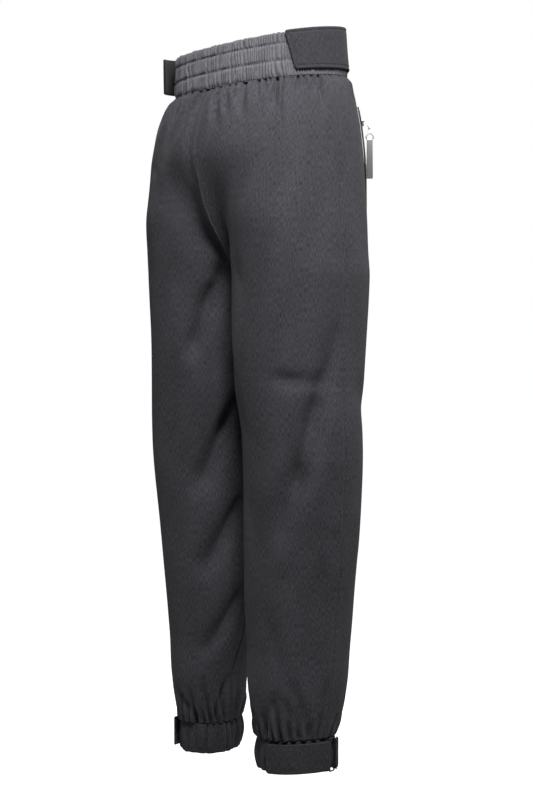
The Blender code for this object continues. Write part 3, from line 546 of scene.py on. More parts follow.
def woven(name, dark, pale, streaks=1.0, roughness=0.92, sheen=0.03, weave=1500.0, bump=0.35):
    """Cloth of dark and pale threads. Weave is the number of radians of wave in a metre."""
    made, tree, shader = new_material(name)
    uv = tree.nodes.new("ShaderNodeUVMap")
    uv.uv_map = "cloth"
    uv = uv.outputs["UV"]
    warp, weft, clouds = (stretched_noise(tree, uv, scale, detail) for scale, detail in THREADS)
    threads = math_node(tree, "ADD", math_node(tree, "MULTIPLY", warp, WARP_SHARE),
                        math_node(tree, "MULTIPLY", weft, WEFT_SHARE))
    mixed = math_node(tree, "ADD", threads, math_node(tree, "MULTIPLY", clouds, CLOUD_SHARE))
    ramp = tree.nodes.new("ShaderNodeValToRGB")
    for element, way, colour in zip(ramp.color_ramp.elements, (-1, 1), (dark, pale)):
        element.position = 0.5 + way * RAMP_REACH / streaks
        element.color = (*colour, 1.0)
    tree.links.new(mixed, ramp.inputs["Fac"])
    tree.links.new(ramp.outputs["Color"], shader.inputs["Base Color"])
    waves = []
    for direction in ("X", "Y"):
        wave = tree.nodes.new("ShaderNodeTexWave")
        wave.bands_direction = direction
        wave.inputs["Scale"].default_value = weave / 6.283
        wave.inputs["Distortion"].default_value = 0.6
        tree.links.new(uv, wave.inputs["Vector"])
        waves.append(wave.outputs["Fac"])
    raised = math_node(tree, "MULTIPLY", threads, 1.4)
    height = math_node(tree, "ADD", math_node(tree, "MULTIPLY", *waves), raised)
    add_bump(tree, shader, height, bump, BUMP_DEPTH)
    for socket, value in (("Roughness", roughness), ("Sheen Weight", sheen), ("Sheen Roughness", 0.5),
                          ("Specular IOR Level", 0.12)):
        shader.inputs[socket].default_value = value
    return made


charcoal = woven("charcoal chambray", (0.013, 0.013, 0.0155), (0.064, 0.064, 0.073), streaks=1.3)
# The same charcoal cloth about a quarter darker: painted shade on the cuffs, tabs and straps.
shaded_charcoal_cloth = woven("charcoal cloth with painted shade", (0.010, 0.010, 0.012), (0.049, 0.049, 0.056), streaks=1.3)
print("made", charcoal.name, "and", shaded_charcoal_cloth.name)

# %% [markdown]
# ## Four panels
#
# Both sides are bent in the right leg's coordinates, and the left ones are mirrored, each with its own folds.
# The left seat has oblique pulls, and the right leg a long fold from the outer knee to the calf. The grid's
# lines crowd at the seams, the dart, the waist and the cuff, where the form is sharp. Neighbouring panels end
# on the same line, so that no light comes through a seam.

# %% Front and back panels
PANEL_COLUMNS, PANEL_ROWS = 120, 240
COLUMN_PLAN = ((0.0, 0.035, 0.40, 0.50, 0.965, 1.0), (0.0, 0.016, 0.424, 0.462, 0.984, 1.0))
ROW_PLAN = ((0.0, 0.06, 0.22, 0.86, 0.96, 1.0), (0.0, 0.020, 0.150, 0.900, 0.975, 1.0))
ZIP_TOP, ZIP_BOTTOM, ZIP_SHARE_TOP, ZIP_SHARE_BOTTOM = -0.072, -0.226, 0.36, 0.42
EDGE_SHARE, CALM_REACH, PANEL_GAP = 0.04, 0.03, 0.0002


def zip_share(height):
    """The share of a front panel at which the pocket's zip lies."""
    down = (ZIP_TOP - height) / (ZIP_TOP - ZIP_BOTTOM)
    return ZIP_SHARE_TOP + (ZIP_SHARE_BOTTOM - ZIP_SHARE_TOP) * down


def depth_of(panel, share, height):
    """Everything that pushes a panel in."""
    face = panel.split("_")[0]
    width = width_at(face, height)
    at_edges = np.minimum(1.0, np.minimum(share, 1 - share) / EDGE_SHARE)
    depth = at_edges * (trough(panel, share, height, FOLDS, False) + gathered(panel, share, height))
    calm = at_edges * soft_step(-height, -WAIST_SEAM, -WAIST_SEAM + CALM_REACH)
    calm = calm * soft_step(height, CUFF_SEAM, CUFF_SEAM + CALM_REACH)
    smaller = calm * unevenness(panel, share, height, width)
    # Creases stop at a seam, apart from the inseam, which they cross with a third of their depth.
    inseam = soft_step(-height, 0.30, 0.36) * (share > 0.5)
    smaller = smaller - trough(panel, share, height, CREASES, True) * np.minimum(1.0, at_edges + 0.3 * inseam)
    if face == "front":
        # The cloth lies flat under the zip.
        away = np.abs(share - zip_share(height)) * width
        past = np.clip(np.maximum(height - ZIP_TOP, ZIP_BOTTOM - height), 0.0, 1.0)
        smaller = smaller * soft_step(np.hypot(away, past), 0.008, 0.030)
    return depth - smaller + dart(face, share, height) + seam_roll(face, share, height)


def on_panel(panel, share, height, lift=0.0):
    """Places on a panel, raised by lift, and the outward directions there."""
    face, side = panel.split("_")
    outward = outward_in_plan(face, share, height)
    plan = panel_plan(face, share, height) + outward * (lift - depth_of(panel, share, height))[:, None]
    plan[:, 0] = np.minimum(plan[:, 0], 0.0)
    return with_tilt(plan * SIDES[side], height), level(outward * SIDES[side])


for face in ("front", "back"):
    for side in SIDES:
        panel = f"{face}_{side}"
        bm, x, y = flat_grid(PANEL_COLUMNS, PANEL_ROWS)
        share = np.interp(x, *COLUMN_PLAN)
        top, bottom = WAIST_SEAM - PANEL_GAP, CUFF_SEAM + PANEL_GAP
        height = top + (bottom - top) * np.interp(y, *ROW_PLAN)
        places, outward = on_panel(panel, share, height)
        bend(bm, places, np.stack([(share - 0.5) * width_at(face, height), height], axis=1), outward)
        piece = cloth_piece(bm, f"{panel}_cloth", charcoal, [panel])

# %% [markdown]
# ## The gathered elastic
#
# The back of the waistband is a wide knitted elastic, sewn down stretched. When it relaxes, it stands up in
# many small pleats: round on top, sharp in the valleys. Two rows of stitching hold it in three channels, so
# the pleats pinch at the rows. Sums of sines that never fall in step make them uneven, at little cost.

# %% Strips round the waist, between two directions in degrees
ELASTIC_ENDS, FRONT_ENDS = (-50.0, 230.0), (230.0, 310.0)
STITCHED_LINES = (0.25, 0.64)
BAND_TALL, BAND_GAP, WAIST_POINTS = BAND_TOP - WAIST_SEAM, 0.00015, 721
ELASTIC_LENGTH, PLEAT_PITCH, PLEAT_SEED = 0.56, 0.0046, 1.3
ELASTIC_SUNK, PLEAT_TALL, COVERED_LOSS = 0.0006, 0.0044, 0.0022
CHANNELS = np.array(
    # down the band, bulge, pleating
    ((0.0, 0.0000, 0.8), (0.06, 0.0003, 1.0), (0.20, 0.0003, 1.0), (0.25, -0.0003, 0.6), (0.30, 0.0003, 1.0),
     (0.58, 0.0004, 1.0), (0.64, -0.0003, 0.6), (0.70, 0.0004, 1.0), (0.92, 0.0003, 1.0), (1.0, -0.0002, 0.6))
)


def round_the_waist(start, end, share, height):
    """Points in plan and outward directions, a share of the way between two directions."""
    points, out = np.empty((len(share), 2)), np.empty((len(share), 2))
    ends = np.broadcast_to(end, share.shape)
    for z in np.unique(height):
        row = height == z
        outer, _, front, back, _ = section_at(z)
        angles = np.radians(np.linspace(start, ends[row][0], WAIST_POINTS))
        y = (front + back) / 2 + (back - front) / 2 * squared(np.sin(angles))
        line = np.stack([outer * squared(np.cos(angles)), y], axis=1)
        gone = metres_gone(line)
        at = BAND_GAP + share[row] * (gone[-1] - 2 * BAND_GAP)
        way = 1.0 if ends[row][0] > start else -1.0
        points[row] = read_along(at, gone, line)
        out[row] = way * read_along(at, gone, sideways(np.gradient(line, axis=0)))
    return points, unit(out)


def on_band(start, end, share, height, lift):
    """Places round the waist, raised by lift, and the outward directions there."""
    points, out = round_the_waist(start, end, share, height)
    return with_tilt(points + out * np.reshape(lift, (-1, 1)), height), level(out)


def pleats(metres, down):
    """0 in a valley and 1 on a pleat. The pitch is uneven, and each channel has its own pleats."""
    seed = PLEAT_SEED
    channel = sum(soft_step(down, line - 0.03, line + 0.03) for line in STITCHED_LINES)
    drift = 2.0 * np.sin(metres * 47.0 + seed) + 1.5 * np.sin(metres * 113.0 + 2 * seed + down * 1.2)
    drift = drift + 0.9 * np.sin(metres * 263.0 + seed) + channel * (1.4 + 0.9 * np.sin(metres * 71.0 + seed))
    phase = math.pi * metres / PLEAT_PITCH + drift + 0.5 * np.sin(down * 5.0 + metres * 60.0)
    height = 0.66 + 0.34 * np.sin(metres * 211.0 + seed + down * 3.0) * np.cos(metres * 79.0 - down * 4.0)
    return np.abs(np.sin(phase)) ** 0.6 * height


def elastic_lift(share, down):
    """How far the elastic stands out. Its pleats are flatter under the tabs."""
    bulge, strength = (np.interp(down, CHANNELS[:, 0], CHANNELS[:, i]) for i in (1, 2))
    covered = soft_step(share, 0.70, 0.735) + soft_step(-share, -0.20, -0.14)
    tall = (PLEAT_TALL - COVERED_LOSS * covered) * strength
    return bulge - ELASTIC_SUNK + tall * pleats(share * ELASTIC_LENGTH, down)

# %% [markdown]
# The strip needs many columns, because each pleat is a few millimetres wide and must look round. Its rows
# crowd at the top edge and the stitched lines. The top edge follows the pleats, as a gathered edge does.

# %% Elastic
ELASTIC_COLUMNS, ELASTIC_ROWS, TOP_WAVE, TOP_WAVE_REACH = 1150, 34, 0.0016, 0.05
grey_cloth = woven("grey elastic", (0.046, 0.046, 0.051), (0.152, 0.152, 0.165), weave=2600.0, bump=0.2)

bm, x, y = flat_grid(ELASTIC_COLUMNS, ELASTIC_ROWS)
y = np.interp(y, (0.0, 0.08, 0.20, 0.34, 0.42, 0.56, 0.72, 0.80, 0.92, 1.0),
              (0.0, 0.04, 0.20, 0.30, 0.42, 0.58, 0.70, 0.80, 0.95, 1.0))
height = BAND_TOP - np.round(y, 5) * (BAND_TALL - BAND_GAP)
places, out = on_band(*ELASTIC_ENDS, x, height, elastic_lift(x, y))
places[:, 2] += TOP_WAVE * np.exp(-y / TOP_WAVE_REACH) * (pleats(x * ELASTIC_LENGTH, y) - 0.6)
bend(bm, places, np.stack([x * ELASTIC_LENGTH, height], axis=1), out)
elastic = cloth_piece(bm, "gathered_elastic", grey_cloth, ["waistband_elastic"], 0.0012)
print("elastic: %.4f m2 drawn, flat %.4f" % (cloth_area(elastic), ELASTIC_LENGTH * BAND_TALL))

# %% [markdown]
# ## The plain front band
#
# The front part of the band has no elastic. It is the same charcoal cloth folded over, with the same two rows
# of stitching. It is hidden in the picture, so I keep it plain.

# %% Front band
FRONT_FLAT, FRONT_UV_LENGTH, FRONT_LIFT, FRONT_THICK = 0.19, 0.20, 0.0022, 0.0026
LINE_DEPTH, LINE_HALF = 0.0004, 0.0012

bm, x, y = flat_grid(220, 30)
y = np.round(y, 5)
height = BAND_TOP - y * (BAND_TALL - BAND_GAP)
groove = LINE_DEPTH * sum(bell((y - line) * BAND_TALL, LINE_HALF) for line in STITCHED_LINES)
wave = 0.0005 * np.sin(x * 61.0) * np.sin(x * 23.0 + 1.0) * np.sin(math.pi * y) * np.sin(math.pi * x)
places, out = on_band(*FRONT_ENDS, x, height, FRONT_LIFT - groove + wave)
bend(bm, places, np.stack([x * FRONT_UV_LENGTH, height], axis=1), out)
front_band = cloth_piece(bm, "front_band", charcoal, ["waistband_front"], FRONT_THICK)
print("front band: %.4f m2" % cloth_area(front_band))

# %% [markdown]
# ## Waist tabs
#
# At each side of the waist a short strap pulls the elastic in: a doubled strip with rounded corners and a row
# of stitching inside its edge. The right one lies flat, and the left one stands open and shows its black
# facing. One mesh can carry two materials, so the inner faces simply get the second one.

# %% Tabs with rounded corners and a black facing
# Where a tab starts, where its end lies at the top and at the bottom, in degrees, and how far it stands open.
WAIST_TABS = {"left": (-58.0, 33.0, 29.0, 0.0160), "right": (238.0, 141.0, 148.5, 0.0)}
TAB_TOP, TAB_TALL, TAB_UNDER, TAB_THICK = BAND_TOP + 0.0020, 0.0550, 0.0030, 0.0020
TAB_RADIUS, TAB_CORNER, TAB_OPENS, TAB_END_RISE = 0.105, 0.0045, 0.35, 0.002
EDGE_DROP, EDGE_HALF, STITCH_INSET, STITCH_SINK, STITCH_HALF = 0.0009, 0.0007, 0.0045, 0.0007, 0.0010
black_cloth = woven("black facing", (0.006, 0.006, 0.007), (0.014, 0.014, 0.016), roughness=0.95, sheen=0.1)


def edge_roll(to_edge):
    """A doubled edge is rounded, and the stitched line inside it sinks in."""
    return -EDGE_DROP * bell(to_edge, EDGE_HALF) - STITCH_SINK * bell(to_edge - STITCH_INSET, STITCH_HALF)


def corner_inset(to_side, radius):
    """How far a rounded corner draws a strip's end back."""
    near = np.clip(1 - to_side / radius, 0.0, 1.0)
    return radius * (1 - np.sqrt(1 - near**2))


def tab_length(side):
    """A waist tab's length in metres."""
    start, end_top, _, _ = WAIST_TABS[side]
    return math.radians(abs(end_top - start)) * TAB_RADIUS


def tab_place(side, x, y):
    """Places on a waist tab's outer face, and the outward directions."""
    start, end_top, end_bottom, stand_off = WAIST_TABS[side]
    to_side = np.minimum(y, 1 - y) * TAB_TALL
    along = x * (1 - corner_inset(to_side, TAB_CORNER) / tab_length(side))
    away = np.clip((along - TAB_OPENS) / (1 - TAB_OPENS), 0.0, 1.0) ** 2
    lift = TAB_UNDER + TAB_THICK + stand_off * away
    lift = lift + edge_roll(np.minimum(to_side, (1 - along) * tab_length(side)))
    lift = lift + 0.0004 * np.sin(along * 17.0) * np.sin(math.pi * y) * (1 - along)
    end = end_top + (end_bottom - end_top) * y
    places, out = on_band(start, end, along, TAB_TOP - y * TAB_TALL, lift)
    places[:, 2] += TAB_END_RISE * away * (stand_off > 0)
    return places, out


def doubled_piece(bm, node, thickness):
    """A strip of the charcoal cloth, darkened as painted shade, whose inner side has the black facing."""
    outer_count = len(bm.faces)
    bmesh.ops.solidify(bm, geom=bm.faces[:], thickness=thickness)
    for i, face in enumerate(bm.faces):
        face.material_index = 0 if i < outer_count else 1
    piece = new_piece(bm, f"{node}_cloth", shaded_charcoal_cloth, [node])
    piece.data.materials.append(black_cloth)
    return piece


for side in SIDES:
    bm, x, y = flat_grid(110, 44)
    x = np.interp(x, (0.0, 0.85, 1.0), (0.0, 0.94, 1.0))
    y = np.round(np.interp(y, (0.0, 0.25, 0.75, 1.0), (0.0, 0.12, 0.88, 1.0)), 5)
    places, out = tab_place(side, x, y)
    bend(bm, places, np.stack([x * tab_length(side), y * TAB_TALL], axis=1), out)
    tab = doubled_piece(bm, f"waist_tab_{side}", TAB_THICK)

# %% [markdown]
# ## Ankle cuffs
#
# A cuff is a narrow band that the leg is gathered into. Its own cloth is eased on too, so it carries many
# short upright folds. I close the strip into a tube by merging the vertices of its two ends.

# %% Cuffs
DEGREES, CUFF_POINTS = np.arange(0.0, 361.0), 2881
CUFF_TALL, CUFF_TOP_GAP, CUFF_GAPS, CUFF_THICK = CUFF_SEAM - HEM, 0.00015, 0.0002, 0.0011
CUFF_FOLDS, CUFF_SUNK, CUFF_FOLD_TALL, CUFF_SHARPNESS = 21, 0.0034, 0.0074, 0.45
# The middle of the right tab, and how far from it the folds begin to flatten and are flat, in degrees.
COVERED_AT, COVERED_FROM, COVERED_FULL = 140.0, 62.0, 40.0


def round_the_cuff(directions, side):
    """Points and outward directions on the cuff's line, by direction in degrees on the right leg."""
    share = np.linspace(0.0, 2.0, CUFF_POINTS)
    line = leg_plan(share, np.full(len(share), CUFF_SEAM), 1.0)
    normal = sideways(np.gradient(line, axis=0))
    if normal[0] @ (line[0] - line[:-1].mean(axis=0)) < 0:
        normal = -normal
    facing = np.unwrap(np.arctan2(normal[:, 1], normal[:, 0]))
    order = np.argsort(facing)
    facing, line = facing[order], line[order]
    wanted = facing[0] + (np.radians(directions) - facing[0]) % (2 * math.pi)
    out = np.stack([np.cos(wanted), np.sin(wanted)], axis=1)
    return read_along(wanted, facing, line) * SIDES[side], out * SIDES[side]


CUFF_ROUND = metres_gone(round_the_cuff(DEGREES, "right")[0])


def cuff_lift(side, x, y, directions):
    """How far a cuff's cloth stands out, in upright folds with a slight lean."""
    turn = x * 2 * math.pi
    phase = CUFF_FOLDS * turn / 2 + 0.5 * np.sin(4 * turn + (side == "left"))
    phase = phase + 0.5 * np.sin(5 * turn + 2.0) * (y - 0.5)
    folds = np.abs(np.sin(phase)) ** CUFF_SHARPNESS * (0.72 + 0.28 * np.sin(9 * turn + 1.0 + 1.5 * y))
    covered = soft_step(np.abs(directions - COVERED_AT), COVERED_FROM, COVERED_FULL) * (side == "right")
    strength = (0.55 + 0.45 * np.sin(math.pi * y)) * (1 - 0.6 * covered)
    edge = 0.0006 * (bell(y * CUFF_TALL, 0.0010) + bell((1 - y) * CUFF_TALL, 0.0008))
    return CUFF_FOLD_TALL * strength * folds - CUFF_SUNK + 0.0004 * np.sin(math.pi * y) - edge


for side in SIDES:
    bm, x, y = flat_grid(520, 20)
    directions = np.interp(x * CUFF_ROUND[-1], CUFF_ROUND, DEGREES)
    points, out = round_the_cuff(directions % 360.0, side)
    height = CUFF_SEAM - CUFF_TOP_GAP - y * (CUFF_TALL - CUFF_GAPS)
    places = np.column_stack([points + out * cuff_lift(side, x, y, directions)[:, None], height])
    bend(bm, places, np.stack([x * CUFF_ROUND[-1], height], axis=1), level(out))
    bmesh.ops.remove_doubles(bm, verts=bm.verts, dist=1e-5)
    cuff = cloth_piece(bm, f"cuff_{side}_cloth", shaded_charcoal_cloth, [f"cuff_{side}"], CUFF_THICK)

# %% [markdown]
# ## Ankle tabs and loops
#
# At each ankle a strap runs through a wire ring and back on itself, and a shorter strip holds the ring to the
# cuff. Both are hairpins: out along the cuff, round the ring's bar and back.

# %% Straps round the rings
RING_BAR_TAB, RING_BAR_LOOP = 180.0, 194.0
RING_WIRE, RING_OFFSET, RING_TOP, RING_BOTTOM = 0.0011, 0.0043, CUFF_SEAM + 0.0015, HEM - 0.0035
STRAP_THICK, STRAP_UNDER, STRAP_OVER, STRAP_EASE = 0.0014, 0.0024, 0.0044, 0.0007
STRAP_TOP, STRAP_BOTTOM, STRAP_CORNER = CUFF_SEAM - 0.0025, HEM - 0.0010, 0.004
STRAP_TALL, CORNER_REACH = STRAP_TOP - STRAP_BOTTOM, 0.03
OVER_POINTS, TURN_POINTS, UNDER_POINTS, CROWDING = 60, 20, 30, 1.7


def strap_layer(side, bar, end, share, out, out_at_bar, opens=0.0):
    """Points of one layer, a share of the way from the ring's bar to its end."""
    at = bar + (end - bar) * share
    points, normal = round_the_cuff(at, side)
    near_bar = soft_step(-np.abs(at - bar), -12.0, -1.0)
    return points + normal * (out + opens + near_bar * (out_at_bar - out))[:, None]


def hairpin(side, bar, over_end, under_end, opens, rise_at_end):
    """Points in plan along a strap, from the outer layer's end, and its rise at each."""
    centre, out = round_the_cuff(np.array([bar]), side)
    radius = RING_WIRE + STRAP_EASE + STRAP_THICK / 2
    share = np.linspace(1.0, 0.0, OVER_POINTS) ** CROWDING
    over = strap_layer(side, bar, over_end, share, STRAP_OVER, RING_OFFSET + radius, opens * share**2)
    way = (1.0 if bar > over_end else -1.0) * (1.0 if side == "left" else -1.0)
    angles = math.atan2(out[0][1], out[0][0]) + way * np.linspace(0.0, math.pi, TURN_POINTS + 2)[1:-1]
    turn = centre + out * RING_OFFSET + radius * np.stack([np.cos(angles), np.sin(angles)], axis=1)
    share_under = np.linspace(0.0, 1.0, UNDER_POINTS) ** CROWDING
    under = strap_layer(side, bar, under_end, share_under, STRAP_UNDER, RING_OFFSET - radius)
    rise = np.concatenate([rise_at_end * share**2, np.zeros(TURN_POINTS + UNDER_POINTS)])
    return np.concatenate([over, turn, under]), rise


def make_strap(node, side, bar, over_end, under_end, opens=0.0, rise_at_end=0.0):
    """A strap round a bar. Its free end may stand out (opens) and up."""
    line, rise = hairpin(side, bar, over_end, under_end, opens, rise_at_end)
    gone = metres_gone(line)
    normal = unit(sideways(np.gradient(line, axis=0)))
    if round_the_cuff(np.array([over_end]), side)[1][0] @ normal[0] < 0:
        normal = -normal
    bm, x, y = flat_grid(130, 20)
    at = x * gone[-1]
    to_side = np.minimum(y, 1 - y) * STRAP_TALL
    lift = STRAP_THICK / 2 + 0.5 * edge_roll(np.minimum(to_side, at))
    at = np.maximum(at, corner_inset(to_side, STRAP_CORNER) * np.clip(1 - at / CORNER_REACH, 0.0, 1.0))
    out = read_along(at, gone, normal)
    height = STRAP_TOP - y * STRAP_TALL + np.interp(at, gone, rise)
    places = np.column_stack([read_along(at, gone, line) + out * lift[:, None], height])
    bend(bm, places, np.stack([at, height], axis=1), level(out))
    strap = doubled_piece(bm, node, STRAP_THICK)


make_strap("ankle_tab_right", "right", RING_BAR_TAB, 98.0, 152.0)
make_strap("ankle_tab_left", "left", RING_BAR_TAB, 128.0, 152.0, 0.0045, 0.0060)
for side in SIDES:
    make_strap(f"ankle_loop_{side}", side, RING_BAR_LOOP, 222.0, 222.0)

# %% [markdown]
# ## Metal, enamel and tape
#
# Parts that are handled never have one even finish. One noise in object coordinates varies their roughness
# and gives a very small bump, so that a highlight breaks up a little.

# %% Plain finishes
BUMP_STRENGTH, SMALL_BUMP = 0.12, 0.0001


def plain(name, colour, roughness, metallic=0.0, wear=0.15, scale=900.0):
    """A smooth finish whose roughness varies a little, as on handled parts."""
    made, tree, shader = new_material(name)
    texture = tree.nodes.new("ShaderNodeTexNoise")
    texture.inputs["Scale"].default_value = scale
    where = tree.nodes.new("ShaderNodeTexCoord")
    tree.links.new(where.outputs["Object"], texture.inputs["Vector"])
    varied = math_node(tree, "MULTIPLY", texture.outputs["Fac"], wear)
    tree.links.new(math_node(tree, "ADD", varied, roughness - wear / 2), shader.inputs["Roughness"])
    add_bump(tree, shader, texture.outputs["Fac"], BUMP_STRENGTH, SMALL_BUMP)
    shader.inputs["Base Color"].default_value = (*colour, 1.0)
    shader.inputs["Metallic"].default_value = metallic
    return made


black_metal = plain("black enamel", (0.012, 0.012, 0.014), 0.38, 0.6)
black_tape = plain("black zip tape", (0.016, 0.016, 0.018), 0.8, scale=2500.0)
silver = plain("satin silver", (0.68, 0.68, 0.69), 0.32, 1.0)
print("made", black_metal.name, "and", black_tape.name, "and", silver.name)

# %% [markdown]
# ## Wire rings
#
# A ring is one wire bent into a rounded rectangle, with its two long sides in the strap and the loop. A curve
# with a bevel depth is the simplest wire, because Blender sweeps a circle along it.

# %% Rings at the ankles
RING_CORNER, CORNER_POINTS, WIRE_RESOLUTION = 0.0030, 9, 5

for side in SIDES:
    ends, out = round_the_cuff(np.array([RING_BAR_TAB, RING_BAR_LOOP]), side)
    ends = ends + out * RING_OFFSET
    half_width = np.linalg.norm(ends[1] - ends[0]) / 2
    across = (ends[1] - ends[0]) / (2 * half_width)
    half_tall = (RING_TOP - RING_BOTTOM) / 2 - RING_WIRE
    outline = []
    for quarter, (sx, sy) in enumerate(((1, 1), (-1, 1), (-1, -1), (1, -1))):
        for angle in np.radians(quarter * 90 + np.linspace(0, 90, CORNER_POINTS)):
            outline.append((sx * (half_width - RING_CORNER) + RING_CORNER * math.cos(angle),
                            sy * (half_tall - RING_CORNER) + RING_CORNER * math.sin(angle)))
    wire = bpy.data.curves.new(f"ring_{side}", "CURVE")
    wire.dimensions = "3D"
    wire.bevel_depth, wire.bevel_resolution = RING_WIRE, WIRE_RESOLUTION
    line = wire.splines.new("POLY")
    line.points.add(len(outline) - 1)
    for point, (u, v) in zip(line.points, outline):
        point.co = (*(ends.mean(axis=0) + across * u), (RING_TOP + RING_BOTTOM) / 2 + v, 1.0)
    line.use_cyclic_u = True
    adopt(wire, f"ring_{side}", black_metal, [f"ankle_ring_{side}"])
    print("ring on the", side, "is %.4f m wide" % (2 * (half_width + RING_WIRE)))

# %% [markdown]
# ## Pocket zips
#
# A closed coil zip is two tapes with a row of small coil turns between them. I take the tape's points from
# the front panel's own form and raise them. Each turn of the coil is one small rounded bar, and all the bars
# of a row go into one mesh, because many objects would be slow.

# %% Zip tapes and teeth
ZIP_HALF, ZIP_LIFT, ZIP_THICK, TOOTH_PITCH, TOOTH_LIFT = 0.006, 0.0009, 0.0012, 0.0012, 0.0006
# Length across the zip, width along it and thickness.
TOOTH, STOP = (0.0042, 0.0009, 0.0010), (0.0062, 0.0030, 0.0020)


def bar_matrix(place, along, out, length, width, thick):
    """Turns and stretches a ball into a bar along one direction, flat to another."""
    along, out = Vector(along).normalized(), Vector(out).normalized()
    side = out.cross(along).normalized()
    made = Matrix((along * length, side * width, along.cross(side) * thick)).transposed().to_4x4()
    made.translation = place
    return made


def small_bars(name, matrices, finish):
    """Many small rounded bars in one piece, one to a matrix."""
    bm, pattern = bmesh.new(), bpy.data.meshes.new("bar pattern")
    bmesh.ops.create_uvsphere(bm, u_segments=6, v_segments=4, radius=0.5)
    bm.to_mesh(pattern)
    bm.clear()
    for matrix in matrices:
        moved = pattern.copy()
        moved.transform(matrix)
        bm.from_mesh(moved)
        bpy.data.meshes.remove(moved)
    bpy.data.meshes.remove(pattern)
    new_piece(bm, name, finish)


def make_zip(side):
    """The tape on its panel, the coil's teeth and a stop at each end."""
    bm, x, y = flat_grid(16, 110)
    height = ZIP_TOP + (ZIP_BOTTOM - ZIP_TOP) * y
    across = (2 * x - 1) * ZIP_HALF
    share = zip_share(height) + across / width_at("front", height)
    hump = 0.0005 * bell(across, 0.0022) - 0.0003 * bell(np.abs(across) - 0.0036, 0.0006)
    places, out = on_panel(f"front_{side}", share, height, ZIP_LIFT + ZIP_THICK)
    bend(bm, places + out * hump[:, None], np.stack([across, height], axis=1), out)
    tape = cloth_piece(bm, f"zip_tape_{side}", black_tape, [f"pocket_zip_{side}"], ZIP_THICK)

    height = np.arange(ZIP_TOP - 0.003, ZIP_BOTTOM + 0.002, -TOOTH_PITCH)
    places, out = on_panel(f"front_{side}", zip_share(height), height, ZIP_LIFT + ZIP_THICK + TOOTH_LIFT)
    inner = range(1, len(places) - 1)
    for name, which, size, finish, slot_name in (("teeth", inner, TOOTH, black_metal, "black_trim"),
                                                 ("stops", (1, -2), STOP, silver, "silver_metal")):
        bars = [bar_matrix(places[i], np.cross(places[i + 1] - places[i - 1], out[i]), out[i], *size)
                for i in which]
        small_bars(f"zip_{name}_{side}", bars, finish)

# %% [markdown]
# The slider and the pull come from the CAD, where their holes and hinge are exact. A copy of each node is
# welded, its flat faces are joined, and then every sharp edge gets a small round, because metal has no
# perfectly sharp edges. The pull rides on its own body.

# %% Sliders and pulls
SLIDER_ROUND, PULL_ROUND, SHARP_EDGE, SHARP_SHADING = 0.0003, 0.0002, 50.0, 40.0


def from_cad(node, name, body, rounding):
    """A welded copy of a CAD node with softly rounded edges."""
    bm = bmesh.new()
    bm.from_mesh(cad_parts[node].data)
    bmesh.ops.remove_doubles(bm, verts=bm.verts, dist=1e-6)
    bmesh.ops.dissolve_limit(bm, angle_limit=math.radians(1.0), verts=bm.verts, edges=bm.edges)
    sharp = [e for e in bm.edges if len(e.link_faces) == 2 and e.calc_face_angle() > math.radians(SHARP_EDGE)]
    bmesh.ops.bevel(bm, geom=sharp, offset=rounding, segments=2, profile=0.5, affect="EDGES", material=-1,
                    clamp_overlap=True)
    bmesh.ops.recalc_face_normals(bm, faces=bm.faces)
    piece = new_piece(bm, name, silver, [node], body)
    piece.data.set_sharp_from_angle(angle=math.radians(SHARP_SHADING))


for side in SIDES:
    make_zip(side)
    from_cad(f"zip_slider_{side}", f"slider_{side}", BODY, SLIDER_ROUND)
    from_cad(f"zip_pull_{side}", f"pull_{side}_plate", f"pull_{side}", PULL_ROUND)

# %% [markdown]
# ## Sewing
#
# A stitch is a short piece of thread that dips into the cloth at both ends, so from outside it is a small
# rounded bar. Stitches lie in the grooves that the seams pull. The first rows hold the elastic's channels.

# %% Stitches on the elastic
STITCH_PITCH, STITCH_LENGTH, STITCH_WIDTH, STITCH_THICK, STITCH_LIFT = 0.0030, 0.0023, 0.0006, 0.0005, 0.0001
thread = plain("charcoal thread", (0.045, 0.045, 0.052), 0.75, scale=4000.0)
grey_thread = plain("grey thread", (0.10, 0.10, 0.11), 0.75, scale=4000.0)


def stitch_row(places, out, pitch=STITCH_PITCH):
    """Matrices for stitches along a line of places."""
    gone = metres_gone(places)
    at = np.arange(pitch / 2, gone[-1] - pitch / 2, pitch)
    here, ahead, away = (read_along(s, gone, v) for s, v in ((at, places), (at + 1e-4, places), (at, out)))
    return [bar_matrix(p + n * STITCH_LIFT, q - p, n, STITCH_LENGTH, STITCH_WIDTH, STITCH_THICK)
            for p, q, n in zip(here, ahead, away)]


def band_rows(ends, share, lift_at):
    """Matrices for the rows of stitches along the band's stitched lines."""
    rows = []
    for down in STITCHED_LINES:
        height = np.full(len(share), BAND_TOP - down * BAND_TALL)
        rows += stitch_row(*on_band(*ends, share, height, lift_at(share, down)))
    return rows


elastic_rows = band_rows(ELASTIC_ENDS, np.linspace(0.002, 0.998, 1600), elastic_lift)
small_bars("elastic_stitches", elastic_rows, grey_thread)
print(len(elastic_rows), "stitches on the elastic")

# %% [markdown]
# The same two lines run on round the front band. Each tab has one row inside its edge, out along its top,
# down its end and back along the bottom.

# %% Stitches on the front band and the tabs
FRONT_ROW_LIFT, TAB_ROW_START, EDGE_POINTS = 0.0019, 0.02, 200

